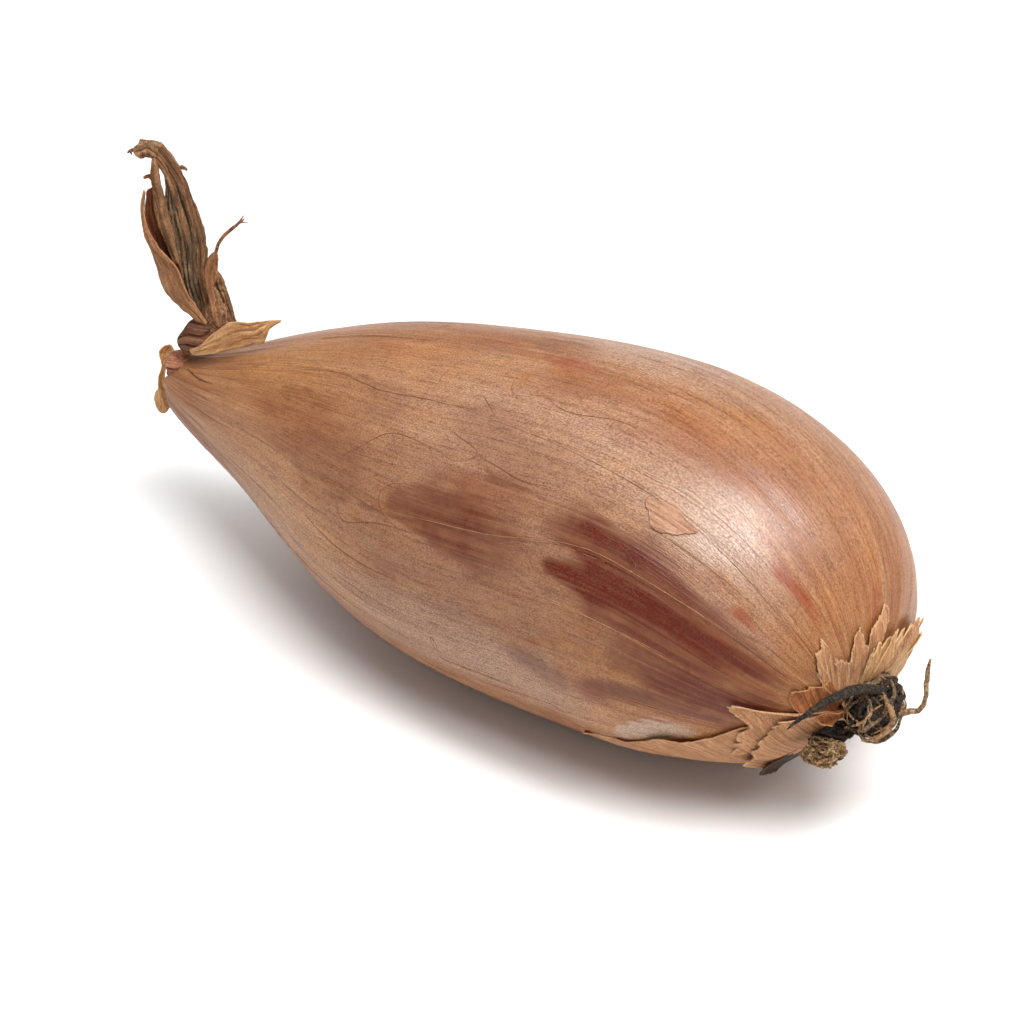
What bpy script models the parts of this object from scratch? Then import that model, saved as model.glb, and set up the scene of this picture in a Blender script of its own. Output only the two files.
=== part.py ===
"""A banana shallot lying on its side: the bulb, the root crown with its dried roots,
the torn skins round the root end, and the withered leaves twisted together at the neck.

Lengths below are millimetres and angles are degrees. The finished meshes are in metres, +Z up.
The bulb's length runs along X with the root end at +X, tipped slightly down. The origin is the
centre of the small flat spot that the bulb rests on.
"""
import math

import bmesh
import bpy
import numpy as np

MM = 0.001

# ---- driving dimensions ----------------------------------------------------------------------
BULB_LENGTH = 94.6          # root end to neck end, in a straight line
BULB_RADIUS = 21.2          # at the fullest place
ROOT_DOWN = 3.0             # tilt of the axis: the fat root end lies lower than the neck
BOW_LEAN = 20.0             # the belly of the bow leans this far from upright, towards +Y
REST_CUT = 0.4              # depth of the flat spot
LEAF_TURN = 36.0            # the flat side of the dried leaves is turned this far from the axis
SKIN = 0.4                  # thickness of a dry skin or leaf
GAP = 0.35                  # clearance between a skin and what it lies on

# Outline of the bulb from the root end: (distance from the root end, radius).
SEAT_RADIUS = 4.0           # where the root crown sits
OUTLINE = [
    (0.0, SEAT_RADIUS), (1.1, 8.0), (3.3, 12.0), (9.5, 17.1), (19.1, 20.4), (33.4, BULB_RADIUS),
    (47.7, 20.15), (62.0, 17.1), (76.3, 11.05), (88.7, 5.6), (BULB_LENGTH, 3.4),
]
# Rise of the middle line over a straight line between the two ends.
BOW = [(0.0, 0.0), (3.3, 1.25), (9.5, 3.5), (19.1, 5.6), (33.4, 5.1), (47.7, 3.05),
       (62.0, 2.2), (76.3, 1.4), (88.7, 0.1), (BULB_LENGTH, 0.0)]

BULB_RINGS = 36
BULB_SIDES = 36
TUBE_SIDES = 6

# ---- colours: linear red, green, blue and roughness --------------------------------------------
FINISHES = {
    "papery_skin": ((0.36, 0.175, 0.085), 0.42),
    "torn_skin": ((0.50, 0.26, 0.125), 0.60),
    "dried_leaf": ((0.30, 0.17, 0.085), 0.70),
    "root_crown": ((0.045, 0.030, 0.022), 0.85),
    "dry_root": ((0.26, 0.19, 0.11), 0.80),
}


# ---- curves ------------------------------------------------------------------------------------
def natural_spline(knots, values):
    """A natural cubic spline through values, which may be numbers or points."""
    knots = np.asarray(knots, float)
    values = np.asarray(values, float)
    count = len(knots)
    step = np.diff(knots)
    slope = np.diff(values, axis=0) / step.reshape((-1,) + (1,) * (values.ndim - 1))
    system = np.eye(count)
    target = np.zeros_like(values)
    for i in range(1, count - 1):
        system[i, i - 1:i + 2] = step[i - 1], 2.0 * (step[i - 1] + step[i]), step[i]
        target[i] = 6.0 * (slope[i] - slope[i - 1])
    bend = np.linalg.solve(system, target)

    def evaluate(t):
        t = min(max(t, knots[0]), knots[-1])
        i = min(int(np.searchsorted(knots, t, side="right")) - 1, count - 2)
        before, after, width = t - knots[i], knots[i + 1] - t, step[i]
        curved = (bend[i] * after ** 3 + bend[i + 1] * before ** 3) / (6.0 * width)
        start = (values[i] / width - bend[i] * width / 6.0) * after
        end = (values[i + 1] / width - bend[i + 1] * width / 6.0) * before
        return curved + start + end

    return evaluate


def path_through(points):
    """A smooth path through points, as a function of a share 0 to 1 of its length."""
    points = np.asarray(points, float)
    length = np.linalg.norm(np.diff(points, axis=0), axis=1)
    along = np.concatenate([[0.0], np.cumsum(length)]) / length.sum()
    return natural_spline(along, points), along


def unit(vector):
    return vector / max(np.linalg.norm(vector), 1e-9)


# ---- the bulb's own coordinates ------------------------------------------------------------------
UP = np.array([0.0, 0.0, 1.0])
outline_path = path_through(OUTLINE)[0]
bow_rise = natural_spline([d for d, _ in BOW], [h for _, h in BOW])


def bow_slope(distance):
    """How steeply the middle line rises, going from the root end to the neck."""
    near = min(max(distance, 0.1), BULB_LENGTH - 0.1)
    return (bow_rise(near + 0.1) - bow_rise(near - 0.1)) / 0.2


def middle(distance):
    """Centre of the bulb's cross-section, before the tilt, at a distance from the root end.
    Past either end the middle line goes straight on."""
    beyond = min(distance, 0.0) + max(distance - BULB_LENGTH, 0.0)
    rise = bow_rise(distance) + beyond * bow_slope(distance)
    lean = math.radians(BOW_LEAN)
    return np.array([BULB_LENGTH / 2 - distance, rise * math.sin(lean), rise * math.cos(lean)])


def section_frame(distance):
    """Direction of the middle line towards the root end, and the section's up and side."""
    slope, lean = bow_slope(distance), math.radians(BOW_LEAN)
    along = unit(np.array([1.0, -slope * math.sin(lean), -slope * math.cos(lean)]))
    up = unit(UP - along[2] * along)
    return along, up, np.cross(along, up)


def tilted(point):
    """Turn a point about Y so that the root end goes down."""
    c, s = math.cos(math.radians(ROOT_DOWN)), math.sin(math.radians(ROOT_DOWN))
    return np.array([c * point[0] + s * point[2], point[1], c * point[2] - s * point[0]])


def ring_point(distance, radius, angle, ahead=0.0):
    """A point round the middle line. Angle 0 is up and 90 is towards -Y."""
    turn = math.radians(angle)
    along, up, side = section_frame(distance)
    spoke = math.cos(turn) * up + math.sin(turn) * side
    return tilted(middle(distance) + radius * spoke + ahead * along)


def rest_offset():
    """Move that puts the lowest point of the bulb at the origin, less the cut for the flat."""
    lowest = min(
        (ring_point(*outline_path(share), angle)
         for share in np.linspace(0.2, 0.7, 101) for angle in range(150, 211, 2)),
        key=lambda point: point[2])
    return np.array([-lowest[0], -lowest[1], -lowest[2] - REST_CUT])


OFFSET = rest_offset()


def placed(distance, radius, angle, ahead=0.0):
    """A point given round the bulb's middle line, in the part's frame, in millimetres."""
    return ring_point(distance, radius, angle, ahead) + OFFSET


def share_at(distance):
    """Share of the outline that reaches a distance from the root end."""
    shares = np.linspace(0.0, 1.0, 400)
    reached = [outline_path(s)[0] for s in shares]
    return float(np.interp(distance, reached, shares))


def on_skin(share, angle, lift):
    """A point over the bulb's surface, lifted along its normal."""
    distance, radius = outline_path(share)
    ahead, behind = outline_path(min(share + 0.004, 1.0)), outline_path(max(share - 0.004, 0.0))
    along = unit(ahead - behind)
    return placed(distance, radius + lift * along[0], angle, ahead=lift * along[1])


NECK_END = placed(BULB_LENGTH, 0.0, 0.0)
ACROSS = np.array([math.cos(math.radians(LEAF_TURN)), math.sin(math.radians(LEAF_TURN)), 0.0])
FRONT = np.array([math.sin(math.radians(LEAF_TURN)), -math.cos(math.radians(LEAF_TURN)), 0.0])


def at_neck(across, up, front):
    """A point given from the neck end, in the frame that the dried leaves face."""
    return NECK_END + across * ACROSS + up * UP + front * FRONT


# The crown sits on the root end, a little above the end of the middle line.
CROWN_CENTRE = placed(-2.2, 2.0, 25.0)


def at_crown(across, up, front):
    """A point given from the crown's centre, in the same directions as at_neck."""
    return CROWN_CENTRE + across * ACROSS + up * UP + front * FRONT


# ---- mesh making -------------------------------------------------------------------------------
def finish_material(name):
    material = bpy.data.materials.get(name)
    if material is None:
        colour, roughness = FINISHES[name]
        material = bpy.data.materials.new(name)
        material.use_nodes = True
        shader = material.node_tree.nodes["Principled BSDF"]
        shader.inputs["Base Color"].default_value = (*colour, 1.0)
        shader.inputs["Roughness"].default_value = roughness
        shader.inputs["Metallic"].default_value = 0.0
    return material


def add_object(name, finish, points, faces):
    """Make a closed mesh object from points in millimetres, with its faces turned out."""
    mesh = bpy.data.meshes.new(name)
    mesh.from_pydata([tuple(np.asarray(p) * MM) for p in points], [], faces)
    work = bmesh.new()
    work.from_mesh(mesh)
    bmesh.ops.recalc_face_normals(work, faces=work.faces)
    work.to_mesh(mesh)
    work.free()
    mesh.shade_smooth()
    thing = bpy.data.objects.new(name, mesh)
    thing.data.materials.append(finish_material(finish))
    bpy.context.collection.objects.link(thing)
    return thing


def ring_faces(rings, sides):
    """Side faces and pole fans of a closed tube: two pole points come after the rings."""
    faces = []
    for i in range(rings - 1):
        for j in range(sides):
            k = (j + 1) % sides
            faces.append((i * sides + j, i * sides + k, (i + 1) * sides + k, (i + 1) * sides + j))
    first, last = rings * sides, rings * sides + 1
    for j in range(sides):
        k = (j + 1) % sides
        faces.append((first, k, j))
        faces.append((last, (rings - 1) * sides + j, (rings - 1) * sides + k))
    return faces


def sheet_faces(rows, columns):
    """Faces of a closed sheet: an outer grid of points followed by an inner grid."""
    under = rows * columns
    faces = []
    for i in range(rows - 1):
        for j in range(columns - 1):
            a, b = i * columns + j, (i + 1) * columns + j
            faces.append((a, a + 1, b + 1, b))
            faces.append((under + a, under + b, under + b + 1, under + a + 1))
    rim = [j for j in range(columns)]
    rim += [i * columns + columns - 1 for i in range(1, rows)]
    rim += [(rows - 1) * columns + j for j in range(columns - 2, -1, -1)]
    rim += [i * columns for i in range(rows - 2, 0, -1)]
    for a, b in zip(rim, rim[1:] + rim[:1]):
        faces.append((a, under + a, under + b, b))
    return faces


def add_leaf(name, spine, half_widths, thickness=SKIN, cup=0.0, facing=FRONT, finish="dried_leaf"):
    """A leaf along a spine in the neck's frame. Its edges bend forward by the cup."""
    rows, columns = 11, 5
    route, along = path_through([at_neck(*p) for p in spine])
    half_width = natural_spline(along, half_widths)
    top, bottom = [], []
    for share in np.linspace(0.0, 1.0, rows):
        centre = route(share)
        tangent = unit(route(min(share + 0.01, 1.0)) - route(max(share - 0.01, 0.0)))
        side = unit(np.cross(tangent, facing))
        normal = unit(np.cross(side, tangent))
        for v in np.linspace(-1.0, 1.0, columns):
            point = centre + side * v * half_width(share) + normal * cup * v * v
            top.append(point + normal * thickness / 2)
            bottom.append(point - normal * thickness / 2)
    return add_object(name, finish, top + bottom, sheet_faces(rows, columns))


def add_tube(name, points, radii, finish="dry_root"):
    """A round root or thread through points of the part's frame."""
    rings = 3 * len(points)
    route, along = path_through(points)
    radius = natural_spline(along, radii)
    mesh_points = []
    for share in np.linspace(0.0, 1.0, rings):
        centre = route(share)
        tangent = unit(route(min(share + 0.01, 1.0)) - route(max(share - 0.01, 0.0)))
        side = unit(np.cross(tangent, UP))
        normal = unit(np.cross(side, tangent))
        for turn in np.arange(TUBE_SIDES) * 2.0 * math.pi / TUBE_SIDES:
            mesh_points.append(centre + radius(share) * (math.cos(turn) * side + math.sin(turn) * normal))
    mesh_points += [route(0.0), route(1.0)]
    return add_object(name, finish, mesh_points, ring_faces(rings, TUBE_SIDES))


def add_lump(name, centre, axes, radii, wrinkles, depth, finish):
    """A wrinkled rounded lump. Axes are its three directions, the first its pole axis."""
    rings, sides = 7, 12
    mesh_points = []

    def surface(polar, turn):
        wave = 1.0 + depth * math.sin(wrinkles * turn + 2.0 * polar) * math.sin(polar) ** 2
        local = (math.cos(polar) * radii[0], math.sin(polar) * math.cos(turn) * radii[1] * wave,
                 math.sin(polar) * math.sin(turn) * radii[2] * wave)
        return centre + sum(value * axis for value, axis in zip(local, axes))

    for i in range(rings):
        for j in range(sides):
            mesh_points.append(surface(math.pi * (i + 1) / (rings + 1), 2.0 * math.pi * j / sides))
    mesh_points += [surface(0.0, 0.0), surface(math.pi, 0.0)]
    return add_object(name, finish, mesh_points, ring_faces(rings, sides))


def add_skin_flap(name, near, far, angles, lifts, finish="torn_skin", taper=0.55):
    """A torn skin lying over the bulb, from a near to a far distance from the root end."""
    rows, columns = 6, 5
    start, end = share_at(near), share_at(far)
    centre, half = sum(angles) / 2, (angles[1] - angles[0]) / 2
    outer, inner = [], []
    for i in range(rows):
        t = i / (rows - 1)
        narrowing = 1.0 - (1.0 - taper) * t ** 2
        lift = lifts[0] + (lifts[1] - lifts[0]) * t
        for v in np.linspace(-1.0, 1.0, columns):
            share = start + (end - start) * t * (1.0 - 0.12 * v * v)
            angle = centre + half * v * narrowing
            outer.append(on_skin(share, angle, lift + SKIN))
            inner.append(on_skin(share, angle, lift))
    return add_object(name, finish, outer + inner, sheet_faces(rows, columns))


# ---- the pieces ----------------------------------------------------------------------------------
def make_bulb():
    """The bulb in its papery skin, with a flat to rest on."""
    profile = [(0.0, SEAT_RADIUS * 0.5)]
    for i in range(BULB_RINGS):
        profile.append(outline_path(i / (BULB_RINGS - 1)))
    profile.append((BULB_LENGTH + 0.5, OUTLINE[-1][1] * 0.7))
    points = []
    for distance, radius in profile:
        for j in range(BULB_SIDES):
            points.append(placed(distance, radius, 360.0 * j / BULB_SIDES))
    points.append(placed(0.0, 0.0, 0.0))
    points.append(placed(BULB_LENGTH + 0.7, 0.0, 0.0))
    bulb = add_object("bulb", "papery_skin", points, ring_faces(len(profile), BULB_SIDES))
    work = bmesh.new()
    work.from_mesh(bulb.data)
    everything = list(work.verts) + list(work.edges) + list(work.faces)
    cut = bmesh.ops.bisect_plane(work, geom=everything, plane_co=(0, 0, 0), plane_no=(0, 0, 1),
                                 clear_inner=True)
    rim = [item for item in cut["geom_cut"] if isinstance(item, bmesh.types.BMEdge)]
    bmesh.ops.contextual_create(work, geom=rim)
    bmesh.ops.recalc_face_normals(work, faces=work.faces)
    work.to_mesh(bulb.data)
    work.free()


def make_root_crown():
    """The dark stub that the roots grow from, on the end of the bulb."""
    out, above, side = (unit(tilted(v)) for v in section_frame(0.0))
    add_lump("root_crown", CROWN_CENTRE, (out, side, above), (1.7, 3.4, 3.4), 5, 0.05, "root_crown")


def make_roots():
    """Dried roots. Points are across, up and front of the crown's centre."""
    strands = {
        "black_root": ([(-2.4, 5.0, 3.1), (-4.5, 7.5, 6.3), (-6.4, 6.7, 7.6), (-8.4, 5.2, 8.2),
                        (-9.4, 3.5, 8.3)], [0.8, 0.75, 0.75, 0.6, 0.25], "root_crown"),
        "side_root": ([(3.3, 0.4, 0.3), (4.4, 0.3, 0.0), (5.1, 1.2, -0.5), (5.3, 2.7, -1.6),
                       (5.6, 4.3, -2.6)], [0.4, 0.4, 0.4, 0.38, 0.5], "dry_root"),
        "short_root": ([(2.2, 3.3, 1.9), (3.4, 3.3, 1.7), (4.4, 3.6, 1.2)],
                       [0.45, 0.45, 0.3], "dry_root"),
        "pale_root": ([(-0.4, 4.1, 3.0), (0.4, 3.2, 3.6), (-0.9, 2.2, 4.4), (-3.6, 0.9, 4.2)],
                      [0.35, 0.4, 0.4, 0.25], "dry_root"),
        "hooked_root": ([(-2.8, -0.4, 3.6), (-1.3, -1.2, 4.1), (1.1, -0.8, 4.1), (2.6, 0.4, 3.5)],
                        [0.3, 0.45, 0.5, 0.35], "dry_root"),
        "under_root": ([(-3.0, -2.4, 2.8), (-1.2, -3.0, 3.1), (1.0, -2.7, 2.9)],
                       [0.25, 0.4, 0.3], "root_crown"),
        "back_root": ([(3.6, -1.6, -2.4), (4.6, -2.0, -3.6), (5.0, -1.2, -5.0)],
                      [0.45, 0.4, 0.25], "dry_root"),
    }
    for name, (route, radii, finish) in strands.items():
        add_tube(name, [at_crown(*point) for point in route], radii, finish)


def make_root_mat():
    """The felted clump of hair roots that hangs beside the crown."""
    out = unit(at_crown(0.0, -0.4, 1.0) - CROWN_CENTRE)
    axes = (out, ACROSS, np.cross(out, ACROSS))
    add_lump("root_mat", at_crown(-5.7, -3.2, 4.3), axes, (1.0, 2.2, 2.2), 4, 0.10, "dry_root")


def make_collar():
    """Torn skins round the root crown: near and far distance, angles and lift."""
    near = 0.35
    flaps = {
        "collar_flap_top_left": (near, 4.1, (20, 38), (GAP, 0.6)),
        "collar_flap_top": (near, 2.1, (3, 18), (GAP, 0.8)),
        "collar_flap_top_right": (near, 2.8, (-12, 1), (GAP, 0.5)),
        "tall_flap": (near, 3.2, (-27, -14), (GAP, 0.8)),
        "collar_flap_right": (near, 1.8, (-49, -30), (GAP, 0.9)),
        "collar_flap_far_right": (near, 2.3, (-76, -52), (GAP, 1.1)),
        "collar_flap_back": (near, 3.0, (-104, -79), (GAP, 0.9)),
        "collar_flap_back_low": (near, 4.4, (-136, -107), (GAP, 0.7)),
        "collar_flap_under_back": (near, 3.2, (-166, -139), (GAP, 0.8)),
        "collar_flap_under": (near, 5.2, (168, 191), (GAP, 0.6)),
        "orange_flap": (near, 3.0, (41, 73), (GAP, 0.4)),
        "lower_flap": (near, 6.1, (76, 98), (GAP, 0.5)),
        "curled_flap": (0.5, 1.5, (52, 72), (1.2, 1.8)),
        "ragged_flap": (near, 3.6, (90, 139), (1.25, 1.4)),
        "bottom_peel": (4.9, 24.0, (112, 142), (GAP, GAP)),
    }
    for name, (start, end, angles, lifts) in flaps.items():
        add_skin_flap(name, start, end, angles, lifts)
    add_skin_flap("dark_scrap", 1.2, 3.4, (142, 164), (0.4, 1.2), finish="root_crown")


def make_neck():
    """The dried leaves twisted together over the neck. Points are across, up and front."""
    add_lump("neck_knot", at_neck(4.0, 7.6, 2.6), (ACROSS, UP, FRONT), (3.4, 1.75, 2.2), 3, 0.06,
             "dried_leaf")
    add_leaf("main_blade",
             [(4.2, 10.0, 2.6), (3.4, 13.4, 2.6), (2.5, 19.0, 2.6), (1.5, 25.2, 2.6),
              (0.4, 30.6, 2.6), (-1.4, 32.2, 2.6), (-2.6, 31.4, 2.6)],
             [0.9, 1.4, 2.0, 1.6, 1.1, 0.8, 0.3], thickness=1.2, cup=-0.4)
    add_leaf("boat_leaf",
             [(3.3, 11.3, 4.5), (1.7, 13.4, 4.7), (0.5, 16.6, 4.7), (-0.3, 21.4, 4.5),
              (-0.9, 25.4, 4.3), (-1.0, 28.0, 4.1)],
             [0.4, 0.9, 1.2, 1.0, 0.7, 0.3], cup=0.8)
    add_leaf("inner_strip",
             [(1.9, 19.0, 6.1), (1.0, 22.8, 6.1), (0.2, 27.0, 5.9), (0.0, 30.6, 5.5)],
             [0.3, 0.5, 0.5, 0.3])
    add_leaf("front_leaf",
             [(5.5, 11.2, 4.7), (5.2, 14.2, 4.7), (5.6, 17.8, 4.5), (5.8, 19.4, 4.5)],
             [0.4, 0.8, 0.7, 0.3], cup=-0.3)
    add_leaf("back_leaf",
             [(6.4, 9.4, 0.7), (6.3, 11.6, 0.7), (5.8, 14.2, 0.7), (5.2, 16.2, 0.7)],
             [1.1, 1.0, 0.7, 0.3], cup=0.3)
    thread = [(5.8, 20.0, 4.5), (6.6, 21.6, 4.5), (7.7, 22.8, 4.5), (9.4, 24.0, 4.5)]
    add_tube("leaf_thread", [at_neck(*point) for point in thread], [0.25, 0.25, 0.22, 0.3],
             "dried_leaf")
    add_leaf("neck_flap",
             [(2.2, 7.2, 5.2), (5.0, 8.6, 6.1), (7.9, 10.4, 7.6), (10.4, 12.1, 8.8),
              (12.8, 14.2, 9.8)],
             [0.4, 1.2, 1.5, 1.2, 0.3], cup=0.6, finish="torn_skin")
    add_lump("pink_fold", at_neck(-0.1, 5.3, 1.0), (ACROSS, UP, FRONT), (1.7, 0.75, 1.3), 3, 0.08,
             "dried_leaf")
    add_leaf("skin_curl",
             [(-2.4, 4.8, 0.6), (-2.1, 2.4, 0.8), (-2.3, 0.0, 1.0), (-2.3, -1.8, 1.0)],
             [0.4, 0.9, 0.8, 0.3], facing=-ACROSS, finish="torn_skin")
    add_lump("skin_bead", at_neck(-1.9, -3.6, 0.8), (UP, ACROSS, FRONT), (1.2, 0.9, 1.3), 3, 0.06,
             "torn_skin")


def clear_scene():
    for thing in list(bpy.data.objects):
        bpy.data.objects.remove(thing, do_unlink=True)


def main():
    clear_scene()
    make_bulb()
    make_root_crown()
    make_roots()
    make_root_mat()
    make_collar()
    make_neck()


main()
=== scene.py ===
"""The looks of a banana shallot that lies on its side: its papery bulb, the torn skins and dried
roots at one end, and the withered leaves twisted together at the other.

Lengths are millimetres and angles are degrees. Meshes are written in metres.
"""
import math

import bmesh
import bpy
import numpy as np
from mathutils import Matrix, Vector
from mathutils.bvhtree import BVHTree


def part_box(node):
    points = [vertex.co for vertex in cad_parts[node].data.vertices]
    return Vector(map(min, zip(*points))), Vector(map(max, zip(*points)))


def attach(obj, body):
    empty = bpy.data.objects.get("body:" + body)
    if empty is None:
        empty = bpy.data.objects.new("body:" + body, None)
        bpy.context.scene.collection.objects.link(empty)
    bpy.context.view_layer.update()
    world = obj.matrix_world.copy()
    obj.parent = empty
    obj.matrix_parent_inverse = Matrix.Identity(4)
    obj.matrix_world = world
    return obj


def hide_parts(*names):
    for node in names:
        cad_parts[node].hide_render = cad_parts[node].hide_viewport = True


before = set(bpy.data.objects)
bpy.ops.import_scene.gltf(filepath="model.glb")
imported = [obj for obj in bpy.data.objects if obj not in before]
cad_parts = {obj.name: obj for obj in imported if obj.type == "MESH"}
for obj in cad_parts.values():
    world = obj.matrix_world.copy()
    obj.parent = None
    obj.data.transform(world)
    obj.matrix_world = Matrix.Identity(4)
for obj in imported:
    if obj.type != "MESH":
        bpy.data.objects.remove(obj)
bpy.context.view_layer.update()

MM = 0.001

# ---- measures ----------------------------------------------------------------------------------
SKIN_ROWS = 290             # along the bulb, root end to neck end
SKIN_COLUMNS = 320          # round it
BOW_LEAN = 20.0             # the belly of the bow leans this far from upright, towards +Y
# Rise of the bulb's middle line over a straight line, by distance from the root end.
BOW = [(0.0, 0.0), (3.3, 1.25), (9.5, 3.5), (19.1, 5.6), (33.4, 5.1), (47.7, 3.05),
       (62.0, 2.2), (76.3, 1.4), (88.7, 0.1), (94.6, 0.0)]
ROW_SOFTNESS = 1.6          # the smoothing of the bulb's surface along it, in millimetres
TURN_SOFTNESS = 4.5         # and round it, in degrees
SWELL = 0.12                # the skin stands this far over the plain bulb
LEAF_TURN = 36.0            # the flat side of the dried leaves is turned this far
TORN_THICKNESS = 0.14
LEAF_THICKNESS = 0.16


def display(red, green, blue):
    """A colour given as display values 0 to 255, made linear."""
    values = np.array([red, green, blue], float) / 255.0
    linear = np.where(values <= 0.04045, values / 12.92, ((values + 0.055) / 1.055) ** 2.4)
    return (*[float(value) for value in linear], 1.0)


# ---- curves and noise -----------------------------------------------------------------------------
def unit(vectors):
    return vectors / np.maximum(np.linalg.norm(vectors, axis=-1, keepdims=True), 1e-9)


def curve_through(knots, values):
    """A natural cubic curve through values at knots; the values may be numbers or points."""
    knots, values = np.asarray(knots, float), np.asarray(values, float)
    count, step = len(knots), np.diff(knots)
    slope = np.diff(values, axis=0) / step.reshape((-1,) + (1,) * (values.ndim - 1))
    system, target = np.eye(count), np.zeros_like(values)
    for i in range(1, count - 1):
        system[i, i - 1:i + 2] = step[i - 1], 2.0 * (step[i - 1] + step[i]), step[i]
        target[i] = 6.0 * (slope[i] - slope[i - 1])
    bend = np.linalg.solve(system, target)

    def evaluate(t):
        t = np.clip(np.asarray(t, float), knots[0], knots[-1])
        i = np.clip(np.searchsorted(knots, t, side="right") - 1, 0, count - 2)
        shape = t.shape + (1,) * (values.ndim - 1)
        before, after = (t - knots[i]).reshape(shape), (knots[i + 1] - t).reshape(shape)
        width = step[i].reshape(shape)
        curved = (bend[i] * after ** 3 + bend[i + 1] * before ** 3) / (6.0 * width)
        start = (values[i] / width - bend[i] * width / 6.0) * after
        return curved + start + (values[i + 1] / width - bend[i + 1] * width / 6.0) * before

    return evaluate


def path_through(points):
    """A smooth path through points by share of its length, and the shares of the points."""
    points = np.asarray(points, float)
    length = np.linalg.norm(np.diff(points, axis=0), axis=1)
    along = np.concatenate([[0.0], np.cumsum(length)]) / length.sum()
    return curve_through(along, points), along


def smooth_step(low, high, value):
    t = np.clip((value - low) / (high - low), 0.0, 1.0)
    return t * t * (3.0 - 2.0 * t)


def noise(u, v, cells, seed, closed=False):
    """Smooth noise from -1 to 1. u and v run 0 to 1 over that many cells; closed joins v's ends."""
    rows, columns = cells
    grid = np.random.default_rng(seed).uniform(-1.0, 1.0, (rows + 2, columns + 2))
    if closed:
        grid[:, columns:] = grid[:, :2]
    x, y = np.clip(u, 0.0, 0.9999) * rows, np.clip(v, 0.0, 0.9999) * columns
    i, j = np.floor(x).astype(int), np.floor(y).astype(int)
    s, t = smooth_step(0.0, 1.0, x - i), smooth_step(0.0, 1.0, y - j)
    near = grid[i, j] * (1.0 - t) + grid[i, j + 1] * t
    far = grid[i + 1, j] * (1.0 - t) + grid[i + 1, j + 1] * t
    return near * (1.0 - s) + far * s


def tear(t, teeth, seed):
    """A torn edge from -1 to 1 along t, 0 to 1: straight nicks with finer ones between them."""
    rng = np.random.default_rng(seed)
    result = np.zeros_like(t)
    for share, count in ((0.5, teeth), (0.32, 3 * teeth), (0.18, 8 * teeth)):
        knots = np.sort(np.concatenate([[0.0, 1.0], rng.uniform(0.0, 1.0, count)]))
        result = result + share * np.interp(t, knots, rng.uniform(-1.0, 1.0, count + 2))
    return result


# ---- the bulb's own surface, read from the frame ------------------------------------------------
UP = np.array([0.0, 0.0, 1.0])


def merged_copy(node):
    """The frame's mesh of one node as one joined surface, in millimetres."""
    work = bmesh.new()
    work.from_mesh(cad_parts[node].data)
    bmesh.ops.remove_doubles(work, verts=work.verts, dist=1e-6)
    bmesh.ops.scale(work, vec=(1.0 / MM,) * 3, verts=work.verts)
    work.verts.ensure_lookup_table()
    return work


def end_pole(work, side):
    """The point at one end of the bulb where all its long lines meet."""
    ends = [v for v in work.verts if v.co.x * side > 25.0]
    return np.array(max(ends, key=lambda v: len(v.link_edges)).co)


def reach(tree, origin, direction):
    hit = tree.ray_cast(Vector(origin), Vector(direction))
    return hit[3] if hit[3] is not None else 0.0


plain_bulb = merged_copy("bulb")
bulb_tree = BVHTree.FromBMesh(plain_bulb)
ROOT_POLE, NECK_POLE = end_pole(plain_bulb, 1.0), end_pole(plain_bulb, -1.0)
plain_bulb.free()
STRAIGHT = unit(NECK_POLE - ROOT_POLE)
BULB_LENGTH = float(np.linalg.norm(NECK_POLE - ROOT_POLE))
BOW_WAY = math.sin(math.radians(BOW_LEAN)) * np.array([0.0, 1.0, 0.0])
BOW_WAY = BOW_WAY + math.cos(math.radians(BOW_LEAN)) * unit(UP - STRAIGHT * STRAIGHT[2])
bow_rise = curve_through([d for d, _ in BOW], [h for _, h in BOW])


def guide(distance):
    """The bulb's bowed middle line, at distances from the root end."""
    distance = np.asarray(distance, float)[..., None]
    return ROOT_POLE + STRAIGHT * distance + BOW_WAY * bow_rise(distance)


def section(distance):
    """The centre, up and side of the cross-sections at distances from the root end.
    Angle 0 is up and 90 is towards -Y."""
    distance = np.asarray(distance, float)
    inside = np.clip(distance, 0.5, BULB_LENGTH - 1.5)
    toward = unit(guide(inside + 0.3) - guide(inside - 0.3))
    up = unit(UP - toward * toward[..., 2:3])
    return guide(distance), up, np.cross(up, toward)


def mean_reach(distance):
    centre, up, side = section(distance)
    turns = np.radians(np.arange(0, 360, 30))
    return np.mean([reach(bulb_tree, centre, math.cos(t) * up + math.sin(t) * side) for t in turns])


def lay_out_rows():
    """Rows evenly spaced over the surface from pole to pole: their distance from the root end,
    the share of the radius (under 1 on the flat ends), and the length of surface up to each."""
    inner = BULB_LENGTH * (1.0 - np.cos(np.linspace(0.02, np.pi - 0.06, 160))) / 2.0
    radii = np.array([mean_reach(d) for d in inner])
    d = np.concatenate([[inner[0]], inner, [inner[-1]]])
    r = np.concatenate([[0.0], radii, [0.0]])
    travel = np.concatenate([[0.0], np.cumsum(np.hypot(np.diff(d), np.diff(r)))])
    even = np.linspace(0.0, travel[-1], SKIN_ROWS + 2)[1:-1]
    distance = np.interp(even, travel, d)
    share = np.clip(np.interp(even, travel, r) / np.interp(distance, inner, radii), 0.02, 1.0)
    return distance, share, even


ROW_DISTANCE, ROW_SHARE, ROW_TRAVEL = lay_out_rows()
ROW_STEP = ROW_TRAVEL[1] - ROW_TRAVEL[0]
COLUMN_ANGLE = np.arange(SKIN_COLUMNS) * 360.0 / SKIN_COLUMNS


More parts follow.
